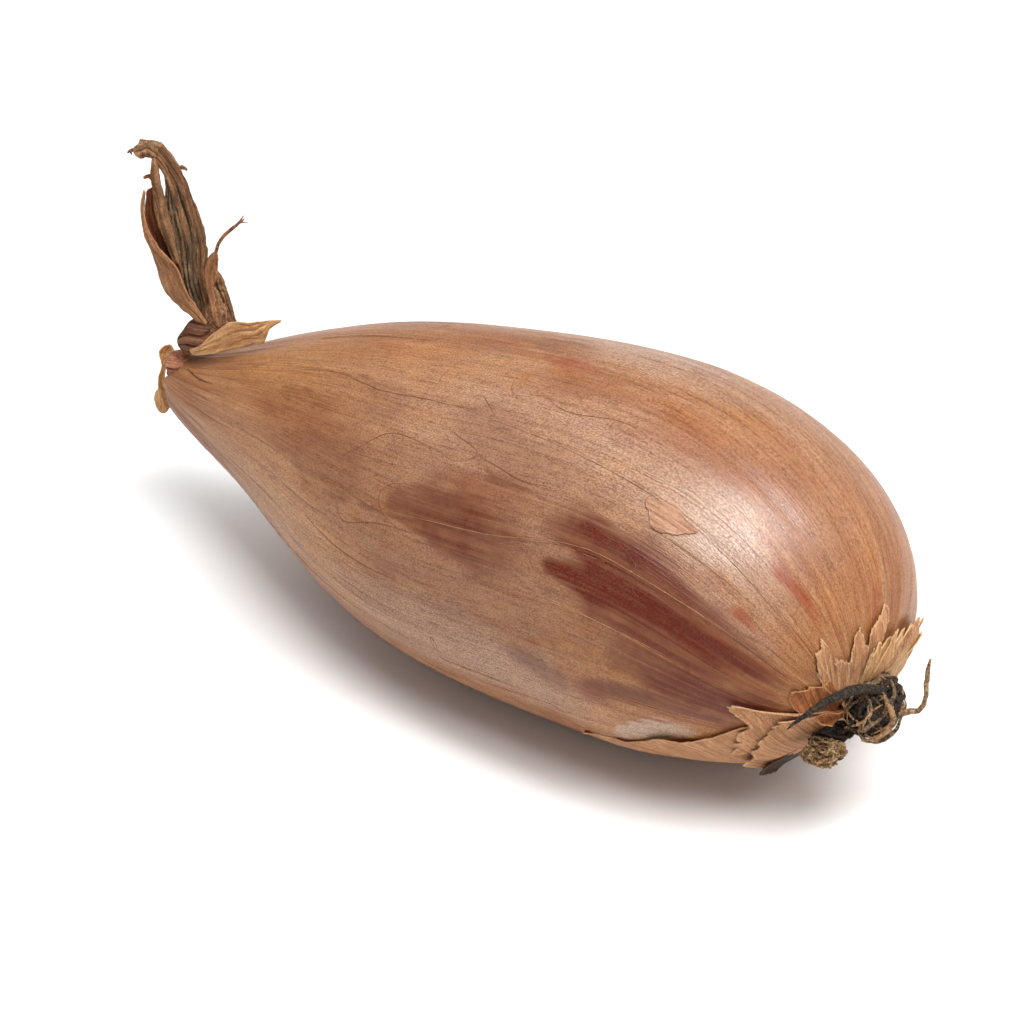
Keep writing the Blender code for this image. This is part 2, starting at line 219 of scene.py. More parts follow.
def blur(grid, spread, axis):
    """Gaussian smoothing; round the bulb the ends join, along it the rows go on over the pole."""
    width = int(math.ceil(3.0 * spread))
    weights = np.exp(-0.5 * (np.arange(-width, width + 1) / spread) ** 2)
    weights /= weights.sum()
    if axis == 1:
        return sum(w * np.roll(grid, k - width, axis=1) for k, w in enumerate(weights))
    over = np.roll(grid, SKIN_COLUMNS // 2, axis=1)
    longer = np.concatenate([over[:width][::-1], grid, over[-width:][::-1]])
    return sum(w * longer[k:k + len(grid)] for k, w in enumerate(weights))


def outward(grid):
    """Unit normals of the bulb's grid of points."""
    round_it = np.roll(grid, -1, axis=1) - np.roll(grid, 1, axis=1)
    return unit(np.cross(round_it, np.gradient(grid, axis=0)))


def read_surface():
    centre, up, side = section(ROW_DISTANCE)
    turns = np.radians(COLUMN_ANGLE)
    grid = np.zeros((SKIN_ROWS, SKIN_COLUMNS, 3))
    for i in range(SKIN_ROWS):
        spokes = np.cos(turns)[:, None] * up[i] + np.sin(turns)[:, None] * side[i]
        reaches = np.array([reach(bulb_tree, centre[i], spoke) for spoke in spokes])
        grid[i] = centre[i] + (ROW_SHARE[i] * reaches)[:, None] * spokes
    grid = blur(blur(grid, ROW_SOFTNESS / ROW_STEP, 0), TURN_SOFTNESS * SKIN_COLUMNS / 360.0, 1)
    normals = outward(grid)
    if np.mean((normals * (grid - centre[:, None])).sum(-1)) < 0.0:
        normals = -normals
    return grid + SWELL * normals, normals


SURFACE, NORMALS = read_surface()
GIRTH = np.linalg.norm(np.roll(SURFACE, -1, axis=1) - SURFACE, axis=2).sum(axis=1)


def row_of(distance):
    """The row, with its fraction, at a distance from the root end."""
    full = ROW_SHARE > 0.999
    return np.interp(distance, ROW_DISTANCE[full], np.nonzero(full)[0])


def on_grid(grid, row, angle):
    """Values of the bulb's grid between its points."""
    row = np.clip(row, 0.0, SKIN_ROWS - 1.001)
    column = (np.asarray(angle, float) % 360.0) * SKIN_COLUMNS / 360.0
    i, j = np.floor(row).astype(int), np.floor(column).astype(int)
    s, t = (row - i)[..., None], (column - j)[..., None]
    j, k = j % SKIN_COLUMNS, (j + 1) % SKIN_COLUMNS
    near = grid[i, j] * (1.0 - t) + grid[i, k] * t
    far = grid[i + 1, j] * (1.0 - t) + grid[i + 1, k] * t
    return near * (1.0 - s) + far * s


def over_skin(row, angle, lift):
    """Points over the bulb's surface, lifted along its normals."""
    row, angle = np.broadcast_arrays(row, angle)
    lift = np.broadcast_to(lift, row.shape)
    return on_grid(SURFACE, row, angle) + lift[..., None] * unit(on_grid(NORMALS, row, angle))


# ---- directions at the two ends ------------------------------------------------------------------
ACROSS = np.array([math.cos(math.radians(LEAF_TURN)), math.sin(math.radians(LEAF_TURN)), 0.0])
FRONT = np.array([math.sin(math.radians(LEAF_TURN)), -math.cos(math.radians(LEAF_TURN)), 0.0])


def middle_of(node):
    low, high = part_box(node)
    return np.array((low + high) / 2) / MM


KNOT_CENTRE = middle_of("neck_knot")
CROWN_CENTRE = middle_of("root_crown")
MAT_CENTRE = middle_of("root_mat")


def placed(origin, across, up, front):
    """A point given from an origin in the directions that the dried leaves face."""
    return origin + across * ACROSS + up * UP + front * FRONT


# ---- meshes ------------------------------------------------------------------------------------
def give(mesh, name, values):
    """Store numbers or vectors on a mesh's points."""
    values = np.asarray(values, np.float32)
    kind, field = ("FLOAT", "value") if values.ndim == 1 else ("FLOAT_VECTOR", "vector")
    mesh.attributes.new(name, kind, "POINT").data.foreach_set(field, values.ravel())


def finish_piece(thing, material, nodes=()):
    """Hand a finished piece to the frame."""
    if material is not None:
        thing.data.materials.clear()
        thing.data.materials.append(material)
    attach(thing, "root")
    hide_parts(*nodes)
    return thing


def add_mesh(name, points, faces, attributes):
    """A smooth closed mesh from points in millimetres, with its faces outwards."""
    mesh = bpy.data.meshes.new(name)
    mesh.from_pydata((np.asarray(points) * MM).tolist(), [], faces)
    for key, values in attributes.items():
        give(mesh, key, values)
    work = bmesh.new()
    work.from_mesh(mesh)
    bmesh.ops.recalc_face_normals(work, faces=work.faces)
    work.to_mesh(mesh)
    work.free()
    mesh.shade_smooth()
    thing = bpy.data.objects.new(name, mesh)
    bpy.context.scene.collection.objects.link(thing)
    return thing


def rounded_faces(rows, columns):
    """Faces of rings of points joined in a closed form, with one more point at each end."""
    faces = []
    for i in range(rows - 1):
        for j in range(columns):
            a, b = i * columns + j, i * columns + (j + 1) % columns
            faces.append((a, b, b + columns, a + columns))
    first, last, ring = rows * columns, rows * columns + 1, (rows - 1) * columns
    for j in range(columns):
        k = (j + 1) % columns
        faces.append((first, k, j))
        faces.append((last, ring + j, ring + k))
    return faces


def sheet_faces(rows, columns):
    """Faces of a closed sheet: an outer grid of points followed by an inner grid."""
    under = rows * columns
    faces = []
    for i in range(rows - 1):
        for j in range(columns - 1):
            a, b = i * columns + j, (i + 1) * columns + j
            faces.append((a, a + 1, b + 1, b))
            faces.append((under + a, under + b, under + b + 1, under + a + 1))
    rim = list(range(columns))
    rim += [i * columns + columns - 1 for i in range(1, rows)]
    rim += [(rows - 1) * columns + j for j in range(columns - 2, -1, -1)]
    rim += [i * columns for i in range(rows - 2, 0, -1)]
    for a, b in zip(rim, rim[1:] + rim[:1]):
        faces.append((a, under + a, under + b, b))
    return faces


def even_grid(rows, columns):
    """The shares, 0 to 1, along and across a grid of points."""
    return np.meshgrid(np.linspace(0.0, 1.0, rows), np.linspace(0.0, 1.0, columns), indexing="ij")


def add_sheet(name, material, nodes, middle, thickness, edge, grain):
    """A closed thin sheet round a grid of middle points. Edge is 1 at the worn rim, and grain is
    the place across the fibres, a place of its own for each sheet, and the place along them."""
    normals = unit(np.cross(np.gradient(middle, axis=1), np.gradient(middle, axis=0)))
    half = thickness / 2.0 * normals
    points = np.concatenate([(middle + half).reshape(-1, 3), (middle - half).reshape(-1, 3)])
    fibres = np.stack(np.broadcast_arrays(*grain), axis=-1)
    attributes = {"edge": np.tile(edge.ravel(), 2), "grain": np.tile(fibres.reshape(-1, 3), (2, 1))}
    sheet = add_mesh(name, points, sheet_faces(*middle.shape[:2]), attributes)
    return finish_piece(sheet, material, nodes)


# ---- shader building -------------------------------------------------------------------------------
def feed(tree, socket, value):
    """Link a socket's value in, or set a plain value."""
    if isinstance(value, bpy.types.NodeSocket):
        tree.links.new(value, socket)
    else:
        socket.default_value = value


def put(tree, kind, inputs=None, **settings):
    """Add a node with its settings and feed its inputs."""
    node = tree.nodes.new(kind)
    for key, value in settings.items():
        setattr(node, key, value)
    for key, value in (inputs or {}).items():
        feed(tree, node.inputs[key], value)
    return node


def reckon(tree, operation, a, b=0.0, c=0.0):
    return put(tree, "ShaderNodeMath", {0: a, 1: b, 2: c}, operation=operation).outputs[0]


def stretch(tree, value, low, high, to_low=0.0, to_high=1.0):
    """Map low..high to to_low..to_high, easing in and out and kept inside."""
    inputs = {0: value, 1: low, 2: high, 3: to_low, 4: to_high}
    return put(tree, "ShaderNodeMapRange", inputs, interpolation_type="SMOOTHSTEP").outputs[0]


def blend(tree, share, first, second):
    return put(tree, "ShaderNodeMix", {0: share, 6: first, 7: second}, data_type="RGBA").outputs[2]


def times(tree, vector, factors):
    return put(tree, "ShaderNodeVectorMath", {0: vector, 1: factors}, operation="MULTIPLY").outputs[0]


def scaled(tree, vector, factor):
    inputs = {0: vector, "Scale": factor}
    return put(tree, "ShaderNodeVectorMath", inputs, operation="SCALE").outputs[0]


def in_cells(tree, vector, width, length):
    """A grain place counted in cells of one width and length."""
    across, down = reckon(tree, "DIVIDE", 1.0, width), reckon(tree, "DIVIDE", 1.0, length)
    factors = put(tree, "ShaderNodeCombineXYZ", {0: across, 1: across, 2: down}).outputs[0]
    return times(tree, vector, factors)


def cloud(tree, vector, detail=2.0, roughness=0.55, distortion=0.0):
    """Noise about 0.5, one cell to a unit."""
    inputs = {"Vector": vector, "Scale": 1.0, "Detail": detail, "Roughness": roughness,
              "Distortion": distortion}
    return put(tree, "ShaderNodeTexNoise", inputs).outputs[0]


def stored(tree, name, output="Fac"):
    return put(tree, "ShaderNodeAttribute", attribute_name=name).outputs[output]


def new_group(name, inputs, outputs):
    """An empty shader node group with named inputs and outputs."""
    group = bpy.data.node_groups.new(name, "ShaderNodeTree")
    for label, kind, value in inputs:
        socket = group.interface.new_socket(label, in_out="INPUT", socket_type=kind)
        if value is not None:
            socket.default_value = value
    for label, kind in outputs:
        group.interface.new_socket(label, in_out="OUTPUT", socket_type=kind)
    return group, put(group, "NodeGroupInput").outputs, put(group, "NodeGroupOutput").inputs


FLOAT, VECTOR = "NodeSocketFloat", "NodeSocketVector"


def make_fibre_grain():
    """Streaks, fibres and fine flecks that run along a skin or leaf."""
    group, given, result = new_group(
        "fibre_grain",
        [("Grain", VECTOR, None), ("Streak Width", FLOAT, 2.4), ("Streak Length", FLOAT, 26.0),
         ("Fibre Width", FLOAT, 0.32), ("Fibre Length", FLOAT, 9.0), ("Fleck Width", FLOAT, 0.16),
         ("Fleck Length", FLOAT, 0.42)],
        [("Streaks", FLOAT), ("Fibres", FLOAT), ("Flecks", FLOAT), ("Height", FLOAT)])

    def along(kind, *texture):
        cells = in_cells(group, given["Grain"], given[kind + " Width"], given[kind + " Length"])
        return cloud(group, cells, *texture)

    streaks = stretch(group, along("Streak", 3.0, 0.6, 0.35), 0.34, 0.66)
    fibres = stretch(group, along("Fibre", 2.0, 0.6, 0.4), 0.30, 0.70)
    flecks = stretch(group, along("Fleck", 2.5, 0.65), 0.40, 0.60)
    height = reckon(group, "MULTIPLY_ADD", fibres, 0.55, reckon(group, "MULTIPLY", flecks, 0.30))
    height = reckon(group, "MULTIPLY_ADD", streaks, 0.35, height)
    for label, value in (("Streaks", streaks), ("Fibres", fibres), ("Flecks", flecks), ("Height", height)):
        group.links.new(value, result[label])
    return group


def make_vein_lines():
    """Thin broken lines that wander along the grain."""
    group, given, result = new_group(
        "vein_lines",
        [("Grain", VECTOR, None), ("Spacing", FLOAT, 3.0), ("Run", FLOAT, 40.0), ("Line", FLOAT, 0.016),
         ("Breaks", FLOAT, 0.5)],
        [("Lines", FLOAT)])
    cells = in_cells(group, given["Grain"], given["Spacing"], given["Run"])
    wave = cloud(group, cells, 2.0, 0.45, 0.25)
    off_centre = reckon(group, "ABSOLUTE", reckon(group, "SUBTRACT", wave, 0.5))
    beside = stretch(group, reckon(group, "DIVIDE", off_centre, given["Line"]), 0.2, 1.0)
    line = reckon(group, "SUBTRACT", 1.0, beside)
    broken = cloud(group, times(group, given["Grain"], (0.35, 0.35, 0.12)), 2.0, 0.6)
    kept = stretch(group, reckon(group, "SUBTRACT", broken, given["Breaks"]), -0.03, 0.06)
    group.links.new(reckon(group, "MULTIPLY", line, kept), result["Lines"])
    return group


def make_mottle():
    """Soft uneven patches, for the clouds and staining of the dry parts."""
    group, given, result = new_group(
        "mottle",
        [("Vector", VECTOR, None), ("Size", FLOAT, 4.0), ("Low", FLOAT, 0.4), ("High", FLOAT, 0.6)],
        [("Patches", FLOAT)])
    place = scaled(group, given["Vector"], reckon(group, "DIVIDE", 1.0, given["Size"]))
    patches = stretch(group, cloud(group, place, 4.0, 0.62, 0.3), given["Low"], given["High"])
    group.links.new(patches, result["Patches"])
    return group


def make_worn_edge():
    """Pale brittle rims on torn pieces, uneven along the rim."""
    group, given, result = new_group(
        "worn_edge",
        [("Edge", FLOAT, 0.0), ("Grain", VECTOR, None), ("Reach", FLOAT, 0.5)],
        [("Worn", FLOAT)])
    uneven = cloud(group, times(group, given["Grain"], (1.3, 1.3, 1.3)), 3.0, 0.6)
    start = reckon(group, "SUBTRACT", 1.15, reckon(group, "MULTIPLY", given["Reach"], uneven))
    worn = stretch(group, reckon(group, "SUBTRACT", given["Edge"], start), -0.12, 0.10)
    group.links.new(worn, result["Worn"])
    return group


FIBRE_GRAIN, VEIN_LINES = make_fibre_grain(), make_vein_lines()
MOTTLE, WORN_EDGE = make_mottle(), make_worn_edge()


def use(tree, group, **inputs):
    """Place a group; its inputs are named with _ for each space."""
    node = put(tree, "ShaderNodeGroup", node_tree=group)
    for label, value in inputs.items():
        feed(tree, node.inputs[label.replace("_", " ")], value)
    return node.outputs


def new_material(name, **settings):
    material = bpy.data.materials.new(name)
    material.use_nodes = True
    tree = material.node_tree
    tree.nodes.clear()
    shader = put(tree, "ShaderNodeBsdfPrincipled", settings)
    put(tree, "ShaderNodeOutputMaterial", {0: shader.outputs[0]})
    return material, tree, shader


def raise_surface(tree, shader, height, distance, strength=1.0):
    bump = put(tree, "ShaderNodeBump", {"Height": height, "Distance": distance * MM, "Strength": strength})
    tree.links.new(bump.outputs[0], shader.inputs["Normal"])


# ---- colours of the bulb's skin ---------------------------------------------------------------------
TAN = display(180, 124, 72)
PALE_TAN = display(204, 154, 104)
BROWN = display(136, 78, 46)
RED_STAIN = display(86, 18, 1)
PURPLE = display(92, 34, 18)
ORANGE = display(134, 74, 42)
# Pale greyish tan of the skin, lightened so that it also stands in for the highlight along the shoulder:
# partly a painted highlight.
GREY_TAN_AND_HIGHLIGHT = display(182, 148, 124)
PATCH_GREY = display(190, 162, 138)
RED_EDGE = display(142, 52, 18)
DARK_FLECK = display(84, 42, 26)


def skin_material():
    """Papery skin: streaks, fibres and flecks along it, clouds of brown, and the stains, the grey ones partly
    a painted highlight.
    """
    settings = {"Roughness": 0.36, "Specular IOR Level": 0.2}
    material, tree, shader = new_material("papery_skin_look", **settings)
    grain = stored(tree, "grain", "Vector")
    fine = use(tree, FIBRE_GRAIN, Grain=grain, Streak_Width=1.7, Streak_Length=30.0, Fibre_Width=0.26,
               Fibre_Length=6.0, Fleck_Width=0.13, Fleck_Length=0.22)
    broad = use(tree, FIBRE_GRAIN, Grain=grain, Streak_Width=5.0, Streak_Length=60.0, Fibre_Width=0.7,
                Fibre_Length=26.0, Fleck_Width=0.55, Fleck_Length=1.1)
    clouds = use(tree, MOTTLE, Vector=grain, Size=9.0, Low=0.38, High=0.62)["Patches"]
    small_clouds = use(tree, MOTTLE, Vector=grain, Size=3.2, Low=0.40, High=0.66)["Patches"]
    veins = use(tree, VEIN_LINES, Grain=grain, Spacing=4.0, Run=60.0, Line=0.010)["Lines"]
    tint = blend(tree, reckon(tree, "MULTIPLY_ADD", broad["Streaks"], 0.62, 0.19), BROWN, TAN)
    tint = blend(tree, reckon(tree, "MULTIPLY", fine["Streaks"], 0.40), tint, PALE_TAN)
    tint = blend(tree, reckon(tree, "MULTIPLY", clouds, 0.30), tint, BROWN)
    tint = blend(tree, reckon(tree, "MULTIPLY", small_clouds, 0.34), tint, BROWN)
    tint = blend(tree, stretch(tree, broad["Fibres"], 0.6, 1.0, 0.0, 0.30), tint, PALE_TAN)
    tint = blend(tree, stretch(tree, fine["Fibres"], 0.62, 1.0, 0.0, 0.22), tint, PALE_TAN)
    fibrous = reckon(tree, "MULTIPLY_ADD", broad["Fibres"], 0.40, 0.56)
    fibrous = reckon(tree, "MULTIPLY_ADD", fine["Flecks"], 0.30, fibrous)
    fibrous = reckon(tree, "MULTIPLY_ADD", small_clouds, 0.16, fibrous)
    # The grey stains are partly a painted highlight along the shoulder.
    for name, colour in (("pale", PALE_TAN), ("grey", GREY_TAN_AND_HIGHLIGHT), ("orange", ORANGE), ("purple", PURPLE),
                         ("red", RED_STAIN), ("streak", RED_EDGE), ("peeled", PATCH_GREY)):
        share = reckon(tree, "MULTIPLY", stored(tree, name), fibrous if name != "peeled" else 1.0)
        tint = blend(tree, share, tint, colour)
    dark = reckon(tree, "MULTIPLY_ADD", fine["Flecks"], -0.56, 0.50)
    dark = reckon(tree, "MULTIPLY_ADD", stretch(tree, broad["Flecks"], 0.0, 0.6, 1.0, 0.0), 0.12, dark)
    dark = reckon(tree, "MULTIPLY_ADD", stretch(tree, fine["Fibres"], 0.0, 0.5, 1.0, 0.0), 0.18, dark)
    tint = blend(tree, dark, tint, DARK_FLECK)
    tint = blend(tree, reckon(tree, "MULTIPLY", veins, 0.45), tint, DARK_FLECK)
    tree.links.new(tint, shader.inputs["Base Color"])
    rough = reckon(tree, "MULTIPLY_ADD", fine["Flecks"], -0.10, 0.40)
    tree.links.new(rough, shader.inputs["Roughness"])
    height = reckon(tree, "MULTIPLY_ADD", broad["Height"], 1.0, fine["Height"])
    raise_surface(tree, shader, height, 0.026, 0.8)
    return material


def dry_material(name, base, light, dark, worn_rim, roughness=0.62, mottled=0.5, relief=0.12, glow=0.0):
    """A dead skin or leaf: fibres along it, dark flecks between them, pale brittle rims. Glow is
    how much light goes through it."""
    base, light, dark, worn_rim = (display(*colour) for colour in (base, light, dark, worn_rim))
    settings = {"Roughness": roughness, "Specular IOR Level": 0.2}
    if glow:
        settings["Subsurface Weight"] = glow
        settings["Subsurface Radius"] = (1.0, 0.5, 0.25)
        settings["Subsurface Scale"] = 0.6 * MM
    material, tree, shader = new_material(name, **settings)
    grain = stored(tree, "grain", "Vector")
    lines = use(tree, FIBRE_GRAIN, Grain=grain, Streak_Width=1.1, Streak_Length=9.0, Fibre_Width=0.24,
                Fibre_Length=5.0, Fleck_Width=0.14, Fleck_Length=0.30)
    patches = use(tree, MOTTLE, Vector=grain, Size=2.6, Low=0.40, High=0.64)["Patches"]
    tint = blend(tree, lines["Streaks"], base, light)
    tint = blend(tree, reckon(tree, "MULTIPLY", patches, mottled), tint, dark)
    tint = blend(tree, stretch(tree, lines["Fibres"], 0.0, 0.55, 0.65, 0.0), tint, dark)
    tint = blend(tree, stretch(tree, lines["Fibres"], 0.65, 1.0, 0.0, 0.5), tint, light)
    tint = blend(tree, stretch(tree, lines["Flecks"], 0.0, 0.6, 0.42, 0.0), tint, dark)
    worn = use(tree, WORN_EDGE, Edge=stored(tree, "edge"), Grain=grain, Reach=0.5)["Worn"]
    tint = blend(tree, reckon(tree, "MULTIPLY", worn, 0.5), tint, worn_rim)
    tree.links.new(tint, shader.inputs["Base Color"])
    raise_surface(tree, shader, lines["Height"], relief, 0.9)
    return material


def root_material(name, base, light, dark, roughness):
    """Dried root: rough, wrinkled along its length, with pale dust."""
    base, light, dark = (display(*colour) for colour in (base, light, dark))
    material, tree, shader = new_material(name, **{"Roughness": roughness, "Specular IOR Level": 0.12})
    place = scaled(tree, put(tree, "ShaderNodeTexCoord").outputs["Object"], 1.0 / MM)
    patches = use(tree, MOTTLE, Vector=place, Size=1.4, Low=0.40, High=0.60)["Patches"]
    specks = use(tree, MOTTLE, Vector=place, Size=0.28, Low=0.44, High=0.68)["Patches"]
    tint = blend(tree, patches, dark, base)
    tint = blend(tree, reckon(tree, "MULTIPLY", specks, 0.75), tint, light)
    tree.links.new(tint, shader.inputs["Base Color"])
    raise_surface(tree, shader, reckon(tree, "ADD", patches, specks), 0.12, 0.9)
    return material


SKIN_LOOK = skin_material()
TORN_TAN = dry_material("torn_skin_tan", (182, 128, 86), (204, 156, 114), (130, 78, 46), (216, 172, 126),
                        mottled=0.45, glow=0.15)
TORN_ORANGE = dry_material("torn_skin_orange", (146, 82, 38), (180, 114, 62), (92, 44, 20), (204, 150, 96),
                           mottled=0.55, glow=0.15)
FLAKE_PALE = dry_material("skin_flake_pale", (166, 120, 88), (184, 142, 112), (128, 80, 54), (132, 84, 56),
                          mottled=0.45, relief=0.06)
# Near-black colour of painted shade, for the scrap under the ragged flap.
PAINTED_SHADE_SKIN = dry_material("painted_shade_skin", (58, 38, 28), (84, 58, 42), (26, 16, 12), (110, 78, 54))
TORN_GOLD = dry_material("torn_skin_gold", (188, 140, 92), (210, 166, 116), (146, 96, 54), (222, 186, 136),
                         mottled=0.4, glow=0.2)
LEAF_BROWN = dry_material("dried_leaf_brown", (134, 90, 56), (166, 122, 82), (72, 42, 22), (190, 138, 94),
                          0.7, 0.55, 0.2)
LEAF_DARK = dry_material("dried_leaf_dark", (118, 90, 62), (154, 124, 90), (64, 46, 30), (170, 126, 86),
                         0.75, 0.7, 0.3)
LEAF_BOAT = dry_material("dried_leaf_boat", (154, 104, 66), (182, 132, 90), (104, 62, 34), (196, 142, 98),
                         0.65, 0.45, 0.16)
LEAF_INSIDE = dry_material("dried_leaf_inside", (122, 64, 32), (150, 86, 46), (74, 34, 16), (160, 104, 62),
                           0.6, 0.5, 0.16)
KNOT_BROWN = dry_material("twisted_neck_brown", (128, 76, 46), (160, 108, 74), (64, 30, 16), (180, 130, 92),
                          0.6, 0.6, 0.24)
NECK_PINK = dry_material("neck_skin_pink", (184, 116, 84), (206, 146, 108), (110, 50, 32), (210, 160, 120),
                         0.55, 0.55, 0.14, 0.2)
LEAF_THREAD = root_material("dried_leaf_thread", (142, 92, 58), (182, 132, 90), (92, 54, 32), 0.7)
VEIN_DARK = root_material("skin_vein_dark", (118, 72, 46), (146, 98, 66), (92, 50, 30), 0.6)
VEIN_PALE = root_material("skin_vein_pale", (190, 142, 98), (206, 164, 120), (164, 114, 74), 0.5)
CROWN_DARK = root_material("root_crown_dark", (42, 30, 22), (92, 72, 54), (12, 8, 6), 0.6)
ROOT_BLACK = root_material("dried_root_black", (34, 26, 20), (96, 80, 62), (10, 8, 6), 0.6)
ROOT_TAN = root_material("dried_root_tan", (156, 118, 78), (206, 172, 128), (92, 60, 36), 0.65)
ROOT_GREY = root_material("dried_root_grey", (112, 86, 60), (178, 152, 118), (58, 42, 28), 0.75)
HAIR_TAN = root_material("root_hair_tan", (166, 128, 86), (214, 180, 132), (112, 80, 50), 0.75)


